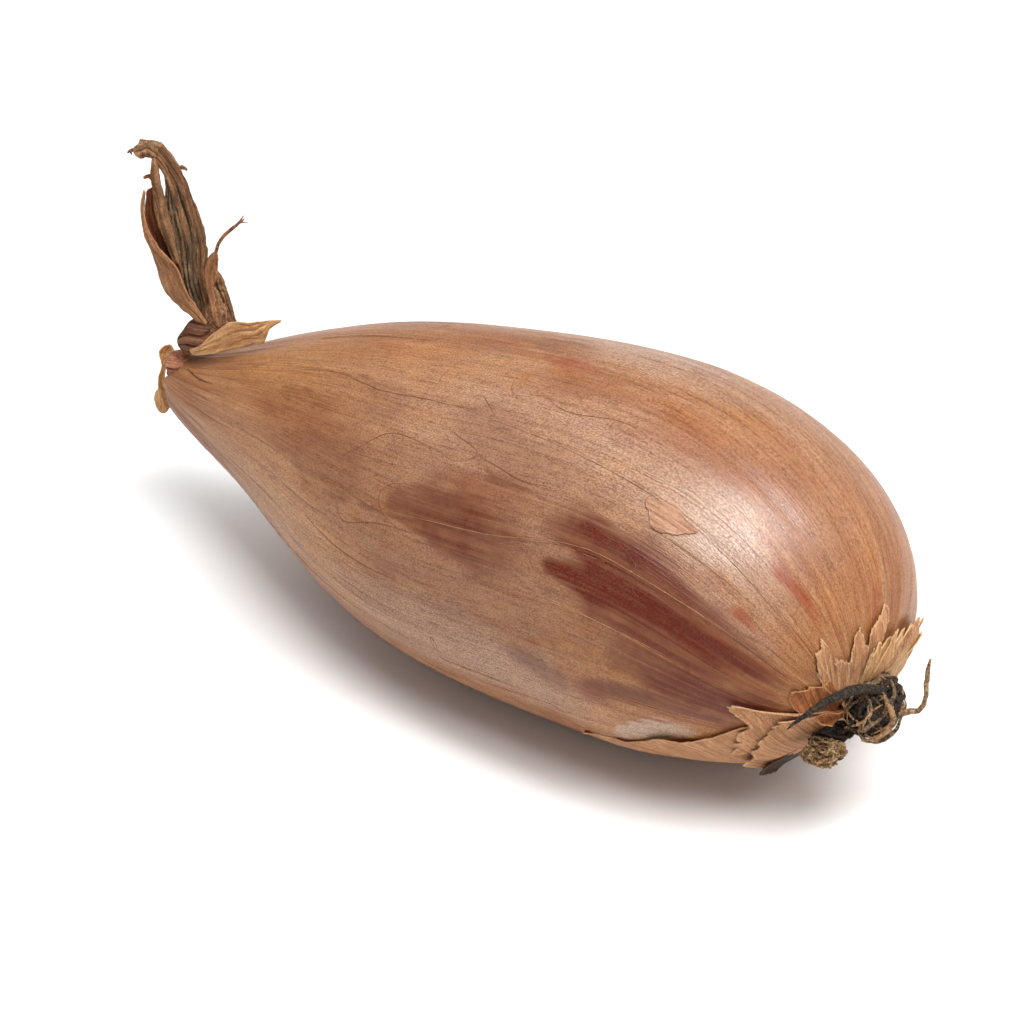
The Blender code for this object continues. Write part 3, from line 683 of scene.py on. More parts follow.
# ---- the bulb --------------------------------------------------------------------------------------
# Stains follow the grain. Each point gives the distance from the root end, the angle, the half
# width in millimetres and the strength there.
STAINS = {
    "red": [
        [(29.4, 64.5, 0.3, 0.0), (28.4, 64.8, 0.7, 0.95), (27.0, 65.2, 0.9, 0.95), (25.3, 65.6, 1.3, 0.95),
         (22.5, 66, 2.3, 0.95), (18.3, 64, 2.1, 0.95), (13.6, 62, 1.6, 0.9), (9.7, 61, 1.4, 0.85),
         (5.5, 58, 1.0, 0.7), (3.0, 56, 0.8, 0.0)],
        [(30.5, 51, 0.8, 0.0), (27.5, 52, 2.4, 0.65), (24.5, 53, 3.4, 0.85), (20.5, 55, 3.3, 0.85),
         (16.5, 55, 2.8, 0.7), (11.0, 55, 2.0, 0.6), (6.0, 54, 1.2, 0.4), (4.0, 54, 1.0, 0.0)],
        [(6.5, 74, 0.4, 0.0), (4.8, 75, 0.8, 0.5), (3.4, 75, 0.7, 0.5), (2.4, 75, 0.5, 0.0)],
    ],
    "streak": [
        [(11.6, 20, 0.3, 0.0), (10.0, 20.5, 0.6, 0.8), (8.4, 19, 0.5, 0.75), (6.7, 18, 0.5, 0.5),
         (4.6, 18, 0.3, 0.0)],
        [(11.3, 45, 0.3, 0.0), (10.2, 44, 0.7, 0.7), (8.7, 44, 0.5, 0.4), (6.2, 42, 0.4, 0.0)],
        [(6.5, -20, 0.3, 0.0), (4.5, -20, 0.6, 0.55), (3.0, -19, 0.6, 0.5), (1.8, -18, 0.4, 0.0)],
        [(41.0, -6, 0.4, 0.0), (37.5, -6, 1.2, 0.55), (35.5, -6, 1.1, 0.4), (33.0, -5, 0.6, 0.0)],
    ],
    "purple": [
        [(62.0, 66, 3.0, 0.0), (52.0, 68, 7.5, 0.26), (38.0, 69, 8.5, 0.30), (26.0, 67, 8.5, 0.34),
         (14.0, 68, 7.0, 0.40), (5.0, 72, 3.0, 0.40), (2.0, 72, 1.0, 0.0)],
        [(70.0, 60, 1.5, 0.0), (63.0, 61, 3.0, 0.30), (56.0, 62, 3.4, 0.42), (48.0, 64, 2.0, 0.0)],
        [(56.0, 78, 2.0, 0.0), (45.0, 79, 3.4, 0.28), (37.0, 80, 3.4, 0.30), (27.0, 80, 3.0, 0.30),
         (20.0, 80, 2.0, 0.0)],
        [(53.0, 60, 1.0, 0.0), (48.6, 60, 2.6, 0.6), (44.4, 61, 3.6, 0.75), (38.8, 62, 4.2, 0.8),
         (33.5, 64, 3.6, 0.6), (29.0, 69, 2.0, 0.25), (26.0, 70, 1.0, 0.0)],
        [(47.0, 28, 1.0, 0.0), (43.7, 27, 2.2, 0.25), (39.8, 31, 3.4, 0.32), (35.3, 35, 3.8, 0.34),
         (29.0, 35, 2.6, 0.25), (24.5, 35, 1.0, 0.0)],
        [(50.0, -17, 0.8, 0.0), (43.0, -15, 1.6, 0.45), (38.0, -15, 1.4, 0.35), (34.0, -14, 0.6, 0.0)],
        [(25.0, 105, 0.8, 0.0), (21.1, 103, 1.4, 0.6), (16.3, 100, 1.3, 0.7), (12.6, 97, 1.2, 0.7),
         (9.1, 96, 1.2, 0.75), (6.4, 97, 1.0, 0.7), (4.5, 98, 0.7, 0.0)],
        [(35.0, 99, 1.0, 0.0), (31.7, 100, 1.8, 0.5), (28.2, 102, 1.8, 0.55), (25.3, 104, 1.4, 0.4),
         (23.0, 105, 0.8, 0.0)],
        [(10.5, 64, 0.5, 0.0), (8.1, 63.5, 1.0, 0.8), (5.8, 62, 0.9, 0.8), (3.8, 61, 0.6, 0.5),
         (2.5, 60, 0.4, 0.0)],
        [(24.0, 80, 1.0, 0.0), (18.0, 82, 2.8, 0.6), (12.0, 84, 3.0, 0.85), (7.0, 84, 2.4, 0.9),
         (4.0, 84, 1.6, 0.8), (2.0, 84, 0.8, 0.0)],
        [(26.0, 70, 1.0, 0.0), (20.0, 71, 2.0, 0.7), (14.0, 70, 2.2, 0.8), (9.0, 70, 1.8, 0.8),
         (4.0, 69, 1.0, 0.5), (2.5, 69, 0.6, 0.0)],
        [(61.0, 33, 1.0, 0.0), (57.7, 31, 2.2, 0.26), (53.9, 33, 2.2, 0.25), (51.0, 33, 1.0, 0.0)],
    ],
    "orange": [
        [(76.0, -8, 2.0, 0.0), (65.0, -8, 3.6, 0.28), (50.0, -10, 3.6, 0.28), (42.0, -12, 2.0, 0.0)],
        [(43.0, 2, 0.6, 0.0), (36.0, 4, 1.8, 0.5), (31.7, 2, 2.2, 0.45), (28.2, 3, 1.8, 0.35),
         (23.0, 7, 1.0, 0.0)],
        [(78.0, 46, 1.5, 0.0), (71.2, 46, 3.0, 0.45), (64.0, 47, 3.6, 0.45), (56.0, 49, 2.5, 0.2),
         (50.0, 50, 1.5, 0.0)],
        [(46.0, 46, 1.0, 0.0), (40.5, 48, 2.2, 0.55), (36.7, 48, 2.4, 0.5), (31.7, 48, 1.8, 0.25),
         (28.0, 48, 1.0, 0.0)],
        [(32.0, 12, 1.0, 0.0), (24.0, 8, 2.8, 0.38), (17.0, 2, 4.0, 0.38), (9.0, -4, 3.6, 0.38),
         (4.0, -6, 1.6, 0.2), (2.0, -6, 1.0, 0.0)],
    ],
    # Grey skin. The bands at angles 24 to 38 run along the shoulder's highlight and are partly a painted
    # highlight.
    "grey": [
        [(26.0, 0, 3.0, 0.0), (18.0, -2, 5.0, 0.35), (9.0, -4, 5.0, 0.35), (4.0, -6, 2.0, 0.0)],
        [(70.0, 38, 5.0, 0.0), (58.0, 40, 10.0, 0.30), (44.0, 36, 14.0, 0.52), (28.0, 38, 15.0, 0.52),
         (14.0, 34, 9.0, 0.35), (8.0, 36, 4.0, 0.0)],
        [(40.0, 24, 1.6, 0.0), (31.0, 24, 3.6, 0.6), (22.0, 25, 4.4, 0.65), (15.7, 27, 4.4, 0.9),
         (10.0, 29, 3.0, 0.7), (5.0, 29, 1.4, 0.0)],
        [(18.0, 46, 1.2, 0.0), (12.6, 48, 2.0, 0.7), (8.0, 48, 1.7, 0.6), (4.0, 47, 0.8, 0.0)],
        [(56.0, 76, 2.0, 0.0), (44.8, 78, 3.2, 0.35), (36.7, 79, 3.4, 0.4), (26.8, 79, 2.8, 0.3),
         (17.7, 76, 2.0, 0.0)],
        [(60.0, 104, 3.0, 0.0), (48.0, 104, 5.0, 0.5), (37.7, 104, 5.5, 0.7), (28.0, 112, 4.5, 0.6),
         (20.0, 118, 3.0, 0.2), (15.0, 118, 2.0, 0.0)],
        [(46.0, -26, 2.0, 0.0), (35.3, -22, 3.6, 0.8), (29.2, -22, 4.4, 0.8), (20.0, -28, 4.0, 0.5),
         (10.0, -36, 2.6, 0.2), (5.0, -36, 1.5, 0.0)],
    ],
    "pale": [
        [(21.8, 31, 0.8, 0.0), (20.6, 34, 1.6, 0.6), (18.2, 34, 2.0, 0.7), (16.0, 34, 0.9, 0.0)],
        [(88.0, 70, 2.0, 0.0), (80.0, 80, 5.0, 0.25), (68.0, 92, 6.0, 0.45), (56.0, 100, 5.0, 0.3),
         (48.0, 104, 3.0, 0.0)],
        [(90.0, 20, 1.5, 0.0), (76.0, 14, 4.0, 0.25), (60.0, 6, 5.0, 0.2), (46.0, 10, 3.0, 0.2),
         (40.0, 12, 1.0, 0.0)],
    ],
    "peeled": [
        [(18.6, 130, 0.3, 0.0), (17.4, 125, 1.2, 1.0), (15.2, 122, 2.0, 1.0), (12.2, 118, 2.2, 1.0),
         (10.0, 116, 1.8, 0.95), (8.2, 113, 0.8, 0.6), (7.2, 112, 0.3, 0.0)],
    ],
}


def stain_mask(name, distance, angle, girth, seed):
    """How strongly a stain covers each point of the bulb's grid."""
    mask = np.zeros_like(distance)
    soft = {"peeled": 0.2, "red": 0.55}.get(name, 0.65)
    u, v = ROW_TRAVEL[:, None] / ROW_TRAVEL[-1] + 0.0 * angle, angle / 360.0
    for k, points in enumerate(STAINS[name]):
        station, turn, half, strength = np.array(sorted(points)).T
        centre = np.interp(distance, station, turn)
        offset = ((angle - centre + 180.0) % 360.0 - 180.0) * girth / 360.0
        ragged = 0.5 * noise(u, v, (26, 60), seed + 7 * k, True)
        ragged += 0.5 * noise(u, v, (50, 170), seed + 7 * k + 1, True)
        wide = np.interp(distance, station, half) * (1.15 + 0.75 * ragged)
        inside = smooth_step(1.0 + soft, 1.0 - soft, np.abs(offset) / np.maximum(wide, 0.05))
        mask = np.maximum(mask, inside * np.interp(distance, station, strength, left=0.0, right=0.0))
    return mask


def shape_skin():
    """The skin's ribs, hollows and wrinkles on top of the smooth surface, and its stains."""
    def columns_of(values):
        return np.repeat(values[:, None], SKIN_COLUMNS, axis=1)

    travel, distance, girth = columns_of(ROW_TRAVEL), columns_of(ROW_DISTANCE), columns_of(GIRTH)
    angle = np.repeat(COLUMN_ANGLE[None, :], SKIN_ROWS, axis=0)
    u, v = travel / ROW_TRAVEL[-1], angle / 360.0
    near_root = np.exp(-distance / 9.0)
    near_neck = np.exp(-(BULB_LENGTH - distance) / 16.0)
    swell = 0.16 * noise(u, v, (7, 6), 11, True) + 0.07 * noise(u, v, (12, 16), 12, True)
    ribs = (0.045 + 0.10 * near_root + 0.16 * near_neck) * noise(u, v, (5, 44), 13, True)
    ribs += (0.025 + 0.09 * near_root + 0.07 * near_neck) * noise(u, v, (8, 96), 14, True)
    lift = (swell + ribs) * smooth_step(0.0, 4.0, girth / 6.0)
    masks = {name: stain_mask(name, distance, angle, girth, 100 + 31 * k) for k, name in enumerate(STAINS)}
    lift -= 0.18 * masks["peeled"]
    points = SURFACE + lift[..., None] * NORMALS
    points[..., 2] = np.maximum(points[..., 2], 0.0)
    turns = np.radians(angle)
    widest = GIRTH.max() / (2.0 * math.pi)
    grain = np.stack([widest * np.cos(turns), widest * np.sin(turns), travel], axis=-1)
    return points, grain, masks


def make_bulb():
    points, grain, masks = shape_skin()

    def with_ends(grid):
        ends = [grid[0].mean(axis=0), grid[-1].mean(axis=0)]
        return np.concatenate([grid.reshape(-1, 3), ends])

    attributes = {"grain": with_ends(grain)}
    for name, mask in masks.items():
        attributes[name] = np.concatenate([mask.ravel(), [0.0, 0.0]])
    bulb = add_mesh("bulb_skin", with_ends(points), rounded_faces(SKIN_ROWS, SKIN_COLUMNS), attributes)
    finish_piece(bulb, SKIN_LOOK, ["bulb"])
    return points


SKIN = make_bulb()


# ---- thread-like pieces: veins, roots and hairs ------------------------------------------------------
GEOMETRY = "NodeSocketGeometry"


def make_strand_tree():
    """Round strands along the object's own curves, with a wandering course."""
    tree = bpy.data.node_groups.new("strands", "GeometryNodeTree")
    tree.interface.new_socket("Geometry", in_out="INPUT", socket_type=GEOMETRY)
    sockets = {}
    for label, kind, value in (("Step", FLOAT, 0.4 * MM), ("Sides", "NodeSocketInt", 6),
                               ("Thickness", FLOAT, MM), ("Wander", FLOAT, 0.0),
                               ("Wander Size", FLOAT, 1.5 * MM), ("Seed", FLOAT, 0.0),
                               ("Finish", "NodeSocketMaterial", None)):
        socket = tree.interface.new_socket(label, in_out="INPUT", socket_type=kind)
        if value is not None:
            socket.default_value = value
        sockets[label] = socket.identifier
    tree.interface.new_socket("Geometry", in_out="OUTPUT", socket_type=GEOMETRY)
    given, result = put(tree, "NodeGroupInput").outputs, put(tree, "NodeGroupOutput").inputs
    inputs = {"Curve": given["Geometry"], "Length": given["Step"]}
    curve = put(tree, "GeometryNodeResampleCurve", inputs, mode="LENGTH").outputs[0]
    place = put(tree, "GeometryNodeInputPosition").outputs[0]
    place = scaled(tree, place, reckon(tree, "DIVIDE", 1.0, given["Wander Size"]))
    inputs = {"Vector": place, "W": given["Seed"], "Scale": 1.0, "Detail": 2.0}
    drift = put(tree, "ShaderNodeTexNoise", inputs, noise_dimensions="4D").outputs["Color"]
    inputs = {0: drift, 1: (0.5, 0.5, 0.5)}
    drift = put(tree, "ShaderNodeVectorMath", inputs, operation="SUBTRACT").outputs[0]
    inputs = {"Geometry": curve, "Offset": scaled(tree, drift, given["Wander"])}
    moved = put(tree, "GeometryNodeSetPosition", inputs).outputs[0]
    inputs = {"Resolution": given["Sides"], "Radius": given["Thickness"]}
    ring = put(tree, "GeometryNodeCurvePrimitiveCircle", inputs).outputs[0]
    tube = put(tree, "GeometryNodeCurveToMesh", {"Curve": moved, "Profile Curve": ring, "Fill Caps": True})
    if "Scale" in tube.inputs:
        feed(tree, tube.inputs["Scale"], put(tree, "GeometryNodeInputRadius").outputs[0])
    real = put(tree, "GeometryNodeRealizeInstances", {0: tube.outputs[0]}).outputs[0]
    coloured = put(tree, "GeometryNodeSetMaterial", {"Geometry": real, "Material": given["Finish"]})
    tree.links.new(coloured.outputs[0], result["Geometry"])
    return tree, sockets


STRANDS, STRAND_INPUTS = make_strand_tree()


def made_plain(thing, name):
    """Replace an object and its modifiers by the mesh that they make."""
    bpy.context.view_layer.update()
    mesh = bpy.data.meshes.new_from_object(thing.evaluated_get(bpy.context.evaluated_depsgraph_get()))
    bpy.data.objects.remove(thing)
    mesh.name = name
    mesh.shade_smooth()
    plain = bpy.data.objects.new(name, mesh)
    bpy.context.scene.collection.objects.link(plain)
    return plain


def add_strands(name, strands, material, nodes=(), step=0.2, sides=6, wander=0.3,
                wander_size=0.5, seed=0.0):
    """Strands through points in millimetres. Each is (points, radii), with radii by share."""
    curve = bpy.data.curves.new(name + "_lines", "CURVE")
    curve.dimensions = "3D"
    for points, radii in strands:
        count = max(6, int(np.linalg.norm(np.diff(points, axis=0), axis=1).sum() / step))
        share = np.linspace(0.0, 1.0, count)
        route = path_through(points)[0](share)
        radius = np.interp(share, np.linspace(0.0, 1.0, len(radii)), radii)
        spline = curve.splines.new("POLY")
        spline.points.add(count - 1)
        spline.points.foreach_set("co", np.column_stack([route * MM, np.ones(count)]).ravel())
        spline.points.foreach_set("radius", radius)
    thing = bpy.data.objects.new(name + "_lines", curve)
    bpy.context.scene.collection.objects.link(thing)
    modifier = thing.modifiers.new("strands", "NODES")
    modifier.node_group = STRANDS
    values = {"Step": step * MM, "Sides": sides, "Thickness": MM, "Wander": wander * MM,
              "Wander Size": wander_size * MM, "Seed": seed, "Finish": material}
    for label, value in values.items():
        modifier[STRAND_INPUTS[label]] = value
    return finish_piece(made_plain(thing, name), None, nodes)


def skin_line(points, lift=0.0, count=60):
    """A line over the bulb's shaped skin through (distance, angle) points."""
    points = np.asarray(points, float)
    shares = np.linspace(0.0, 1.0, count)
    row, angle = path_through(np.column_stack([row_of(points[:, 0]), points[:, 1]]))[0](shares).T
    return on_grid(SKIN, row, angle) + lift * unit(on_grid(NORMALS, row, angle))


CRACKS = [
    [(58.3, 54), (55.2, 45), (53.2, 40), (49.0, 39), (45.8, 40), (43.0, 42)],
    [(48.0, 54), (49.3, 55), (51.1, 60), (50.7, 65), (47.9, 69)],
    [(57.7, 68), (57.0, 71), (56.3, 75), (52.0, 72), (49.3, 70), (45.5, 69)],
    [(46.5, 30), (43.0, 34), (40.2, 38), (41.6, 41), (43.5, 42)],
    [(22.0, 49), (21.1, 50), (19.4, 54), (19.2, 57), (19.0, 60), (17.7, 61.5)],
    [(67.7, 21), (63.0, 23), (59.0, 25), (55.0, 25), (51.4, 24), (46.0, 23.5), (40.9, 23)],
    [(36.0, 12), (33.5, 15), (30.5, 14), (27.5, 12), (25.0, 13)],
    [(40.2, 38), (37.0, 40), (33.5, 42), (31.0, 41)],
    [(62.0, 84), (57.0, 88), (52.0, 89), (47.0, 88)],
    [(44.0, 16), (42.0, 20), (40.2, 24)],
]
NECK_SLIT = [(90.8, 33), (89.5, 37), (88.3, 40), (86.0, 42), (84.5, 42.5)]
LONG_VEINS = [
    [(46.0, 23.5), (40.5, 25), (32.8, 27), (26.1, 29), (19.4, 30), (14.2, 31), (8.4, 32), (3.2, 33)],
    [(49.7, 66), (42.7, 64), (34.5, 62), (30.0, 59), (24.3, 56), (19.4, 56), (13.2, 55), (7.2, 53),
     (3.4, 53)],
]


def make_vein_lines_on_skin():
    """Fine cracks and raised veins on the skin, the named ones first, then more all round."""
    rng = np.random.default_rng(5)
    dark = [(skin_line(points, 0.01), [0.01, 0.035, 0.04, 0.03, 0.01]) for points in CRACKS]
    dark.append((skin_line(NECK_SLIT, -0.02), [0.05, 0.12, 0.16, 0.10, 0.03]))
    pale = []
    for points in LONG_VEINS:
        dark.append((skin_line(points, 0.0, 160), [0.01, 0.03, 0.02, 0.04, 0.025, 0.04, 0.01]))
        beside = [(distance, angle - 1.0) for distance, angle in points]
        pale.append((skin_line(beside, 0.01, 160), [0.01, 0.030, 0.024, 0.036, 0.024, 0.01]))
    for k in range(120):
        start, angle = rng.uniform(3.0, 84.0), rng.uniform(0.0, 360.0)
        length = rng.uniform(5.0, 24.0)
        stations = np.linspace(start, min(start + length, 92.0), 5)
        drift = angle + np.cumsum(rng.normal(0.0, 0.7, 5))
        radii = [0.005, rng.uniform(0.018, 0.034), 0.022, 0.005]
        (dark if k % 3 else pale).append((skin_line(np.column_stack([stations, drift])), radii))
    for k in range(16):
        distance, angle = rng.uniform(12.0, 74.0), rng.uniform(110.0, 380.0)
        steps = np.cumsum(rng.normal(0.0, 1.0, (5, 2)) * (1.6, 5.0), axis=0)
        route = [(distance + a, angle + b) for a, b in steps]
        dark.append((skin_line(route), [0.005, 0.025, 0.028, 0.005]))
    for name, lines, material in (("skin_cracks", dark, VEIN_DARK), ("raised_fibres", pale, VEIN_PALE)):
        add_strands(name, lines, material, step=0.35, sides=5, wander=0.12,
                    wander_size=0.9, seed=3.0)


make_vein_lines_on_skin()


def make_flake():
    """A small scuffed flake of the outer skin, lifted at its rim."""
    u, v = even_grid(40, 40)
    station = 16.9 + 5.0 * u
    knots = [16.9, 17.6, 18.4, 19.4, 20.4, 21.2, 21.9]
    low = np.interp(station, knots, [31.0, 30.0, 29.8, 28.2, 28.6, 30.5, 31.0])
    high = np.interp(station, knots, [32.0, 34.5, 37.0, 39.0, 38.6, 34.5, 32.0])
    angle = low + 1.2 * tear(u, 6, 91) + (high - low + 1.2 * tear(u, 7, 92)) * v
    row = row_of(station)
    edge = np.maximum((2.0 * np.abs(v - 0.5)) ** 8, (2.0 * np.abs(u - 0.5)) ** 8)
    crinkle = 0.04 * tear(u * 2.0 + v, 5, 93) + 0.03 * tear(v * 2.0 - u, 6, 94)
    lift = (0.07 + 0.05 * edge + crinkle)[..., None]
    middle = on_grid(SKIN, row, angle) + lift * unit(on_grid(NORMALS, row, angle))
    grain = (angle * 0.34, 40.0, row * ROW_STEP)
    add_sheet("lifted_skin_flake", FLAKE_PALE, (), middle, 0.08, edge, grain)


make_flake()


# ---- torn skins over the bulb -----------------------------------------------------------------------
def girth_at(row):
    return np.interp(row, np.arange(SKIN_ROWS), GIRTH)


def add_flap(name, material, nodes, crest, seed, near=0.3, lifts=(0.18, 0.7), curl=0.5, teeth=5,
             nick=0.5, wave=0.10, columns=46, fold=0.0):
    """A torn skin that starts near the root end and reaches the crest, given as
    (angle, distance) points. Its rim is ragged and curls away from the bulb."""
    angles, reaches = np.array(crest, float).T
    u, v = even_grid(36, columns)
    angle = angles[0] + (angles[-1] - angles[0]) * v
    order = np.argsort(angles)
    far_row = np.interp(angle, angles[order], row_of(reaches[order]))
    length = (far_row - row_of(near)) * ROW_STEP
    steps = 0.55 * np.tanh(3.0 * tear(v, teeth, seed)) + 0.45 * tear(v, 3 * teeth, seed + 9)
    far_row = far_row + nick * steps / ROW_STEP * np.minimum(1.0, length / 2.0)
    row = row_of(near) + (far_row - row_of(near)) * u
    girth = girth_at(row)
    side_nick = tear(u, 4, seed + 50) * (1.0 - v) + tear(u, 4, seed + 60) * v
    angle = angle + 0.35 * side_nick * (2.0 * np.abs(v - 0.5)) ** 2 * 360.0 / girth
    rise = lifts[0] + (lifts[1] - lifts[0]) * u ** 1.6 + curl * u ** 5
    rise = rise + wave * (noise(u, v, (3, 7), seed + 2) + 0.6 * noise(u, v, (5, 16), seed + 3)) * u
    rise = rise + fold * np.abs(2.0 * v - 1.0) ** 3 * u
    middle = over_skin(row, angle, np.maximum(rise, 0.10))
    edge = np.maximum(u ** 6, (2.0 * np.abs(v - 0.5)) ** 10 * smooth_step(0.0, 0.3, u))
    grain = (angle * girth / 360.0, 9.0 * seed, row * ROW_STEP)
    return add_sheet(name, material, nodes, middle, TORN_THICKNESS, edge, grain)


def make_collar():
    hug = {"lifts": (0.12, 0.26), "curl": 0.10, "wave": 0.08, "columns": 72}
    add_flap("top_left_torn_skin", TORN_TAN, ["collar_flap_top_left"],
             [(41, 1.5), (37, 2.6), (32, 3.2), (29, 3.9), (25, 3.7), (22, 4.4), (20, 3.4), (18, 2.2)],
             1, teeth=11, nick=0.55, **hug)
    add_flap("top_torn_skin", TORN_TAN, ["collar_flap_top"],
             [(21, 2.4), (16, 2.3), (12, 1.9), (8, 1.8), (4, 2.1), (1, 1.4)], 2, teeth=11, nick=0.55, **hug)
    add_flap("top_right_torn_skin", TORN_TAN, ["collar_flap_top_right"],
             [(4, 2.3), (0, 2.8), (-4, 3.1), (-7, 2.4), (-12, 1.7)], 3, teeth=10, nick=0.55, **hug)
    add_flap("tall_torn_skin", TORN_TAN, ["tall_flap"],
             [(-12, 2.3), (-17, 2.9), (-21, 3.0), (-24.5, 3.7), (-28, 2.6)],
             4, teeth=9, lifts=(0.15, 0.32), curl=0.12, columns=60)
    strips = [("right_torn_skin", -13, -34, (1.5, 1.9), ["collar_flap_right"]),
              ("outer_right_torn_skin", -32, -52, (2.0, 1.8), []),
              ("far_right_torn_skin", -50, -66, (2.1, 2.7), ["collar_flap_far_right"]),
              ("outer_far_right_torn_skin", -64, -82, (2.6, 1.9), []),
              ("back_torn_skin", -78, -104, (2.1, 3.0), ["collar_flap_back"]),
              ("low_back_torn_skin", -102, -134, (3.6, 4.4), ["collar_flap_back_low"]),
              ("under_back_torn_skin", -132, -166, (3.2, 2.8), ["collar_flap_under_back"])]
    rng = np.random.default_rng(17)
    for k, (name, start, end, (first, last), nodes) in enumerate(strips):
        turns = np.linspace(start, end, 7)
        reaches = np.linspace(first, last, 7) + rng.uniform(-0.35, 0.35, 7)
        add_flap(name, TORN_GOLD if k % 3 != 2 else TORN_TAN, nodes, list(zip(turns, reaches)), 5 + k,
                 teeth=9, lifts=(0.25 + 0.15 * (k % 2), 0.6 + 0.2 * (k % 3)), curl=0.12, fold=0.2, columns=72)
    add_flap("under_torn_skin", TORN_GOLD, ["collar_flap_under"],
             [(194, 3.2), (188, 4.4), (180, 4.8), (172, 4.4), (164, 5.0)],
             20, teeth=8, nick=0.3, lifts=(0.15, 0.25), curl=0.05)
    add_flap("orange_torn_skin", TORN_ORANGE, ["orange_flap"],
             [(78, 1.6), (72, 2.3), (67, 2.8), (60, 3.1), (52, 2.5), (47, 2.3), (42, 1.9), (32, 1.7)],
             11, teeth=14, nick=0.4, **hug)
    add_flap("lower_torn_skin", TORN_TAN, ["lower_flap"],
             [(124, 4.6), (110, 4.4), (101, 4.6), (96, 4.2), (91, 4.5), (87, 5.7), (84, 6.4), (81.5, 5.9),
              (80, 3.9), (77, 2.2)], 12, teeth=16, lifts=(0.2, 0.45), curl=0.15, columns=90)
    add_flap("ragged_torn_skin", TORN_TAN, ["ragged_flap"],
             [(152, 3.0), (141, 3.9), (128, 3.3), (112, 3.2), (100, 2.9), (92, 2.9), (85, 2.7), (81, 1.8)],
             13, teeth=20, nick=0.6, lifts=(0.4, 0.75), curl=0.15, columns=90)
    add_flap("curled_torn_skin", TORN_ORANGE, ["curled_flap"],
             [(78, 0.7), (72, 1.3), (64, 1.6), (57, 1.5), (50, 0.9)], 14, near=0.1, lifts=(1.0, 1.7))
    # A scrap sheet coloured dark as painted shade under the ragged flap's lower rim.
    add_flap("painted_shade_scrap", PAINTED_SHADE_SKIN, ["dark_scrap"],
             [(166, 2.8), (158, 3.3), (150, 3.2), (142, 2.6)],
             15, near=1.0, lifts=(0.5, 1.0), teeth=9, columns=60)


make_collar()


def make_long_peel():
    """The strip of skin torn loose along the lower side, from the collar towards the belly."""
    u, v = even_grid(110, 30)
    station = 1.2 + 23.3 * u
    knots = [1.2, 3.5, 4.6, 6.4, 8.0, 12.0, 13.4, 16.0, 20.5, 24.5]
    upper = np.interp(station, knots, [94, 95, 99, 112, 117, 122, 126, 130, 132, 133])
    lower = np.interp(station, knots, [160, 160, 158, 156, 154, 150, 148, 146, 140, 134])
    row = row_of(station)
    girth = girth_at(row)
    angle = upper + 0.35 * tear(u, 26, 71) * 360.0 / girth + (lower - upper) * v
    rise = 0.10 + 0.35 * (1.0 - v) ** 4 * (0.6 + 0.5 * noise(u, 0 * u, (9, 1), 72))
    rise = rise + 0.05 * noise(u, v, (30, 6), 73)
    middle = over_skin(row, angle, np.maximum(rise, 0.1))
    edge = np.maximum((1.0 - v) ** 10, smooth_step(0.93, 1.0, u))
    grain = (angle * girth / 360.0, 30.0, row * ROW_STEP)
    add_sheet("long_peeled_skin", TORN_TAN, ["bottom_peel"], middle, TORN_THICKNESS, edge, grain)


make_long_peel()


# ---- the neck --------------------------------------------------------------------------------------
def from_knot(points):
    """A smooth path through (across, up, front) points from the knot's centre."""
    return path_through([placed(KNOT_CENTRE, *point) for point in points])


def add_ribbon(name, material, nodes, left, right, bulge=0.4, ribs=5, rib_depth=0.12, crumple=0.15,
               seed=1, rows=110, columns=30, thickness=LEAF_THICKNESS, ragged=0.10, curl=0.0):
    """A dried leaf between two edges of (across, up, front) points from the knot's centre. It
    bulges to the front in the middle, and curl bends its right edge forward."""
    share = np.linspace(0.0, 1.0, rows)
    sides = [from_knot(edge)[0](share) for edge in (left, right)]
    u, v = even_grid(rows, columns)
    width = np.linalg.norm(sides[1] - sides[0], axis=1)[:, None]
    low, high = tear(u, 16, seed) * ragged, 1.0 + tear(u, 16, seed + 1) * ragged
    place = (low + (high - low) * v)[..., None]
    middle_line = (sides[0] + sides[1]) / 2.0
    across = unit(sides[1] - sides[0] + 1e-6 * ACROSS)
    normal = unit(np.cross(unit(np.gradient(middle_line, axis=0)), across))
    normal = normal * np.sign(normal @ FRONT)[:, None]
    broad = np.minimum(1.0, width / 1.5)
    folds = np.sin(math.pi * ribs * 2.0 * v + 2.5 * noise(u, v, (4, 2), seed + 2))
    creases = noise(u, v, (9, 3), seed + 3) + 0.6 * noise(u, v, (26, 8), seed + 4)
    depth = bulge * 4.0 * v * (1.0 - v) * broad + curl * v ** 4 * broad
    depth = depth + rib_depth * broad * folds + crumple * creases * broad
    middle = sides[0][:, None] * (1.0 - place) + sides[1][:, None] * place
    middle = middle + depth[..., None] * normal[:, None]
    edge = np.maximum((2.0 * np.abs(v - 0.5)) ** 9, smooth_step(0.96, 1.0, u))
    length = np.linalg.norm(np.diff(middle_line, axis=0), axis=1).sum()
    grain = ((v - 0.5) * width, 7.0 * seed, u * length)
    return add_sheet(name, material, nodes, middle, thickness, edge, grain)


def at(front, *points):
    """Edge points given as (across, up), all the same way to the front."""
    return [(across, up, front) for across, up in points]


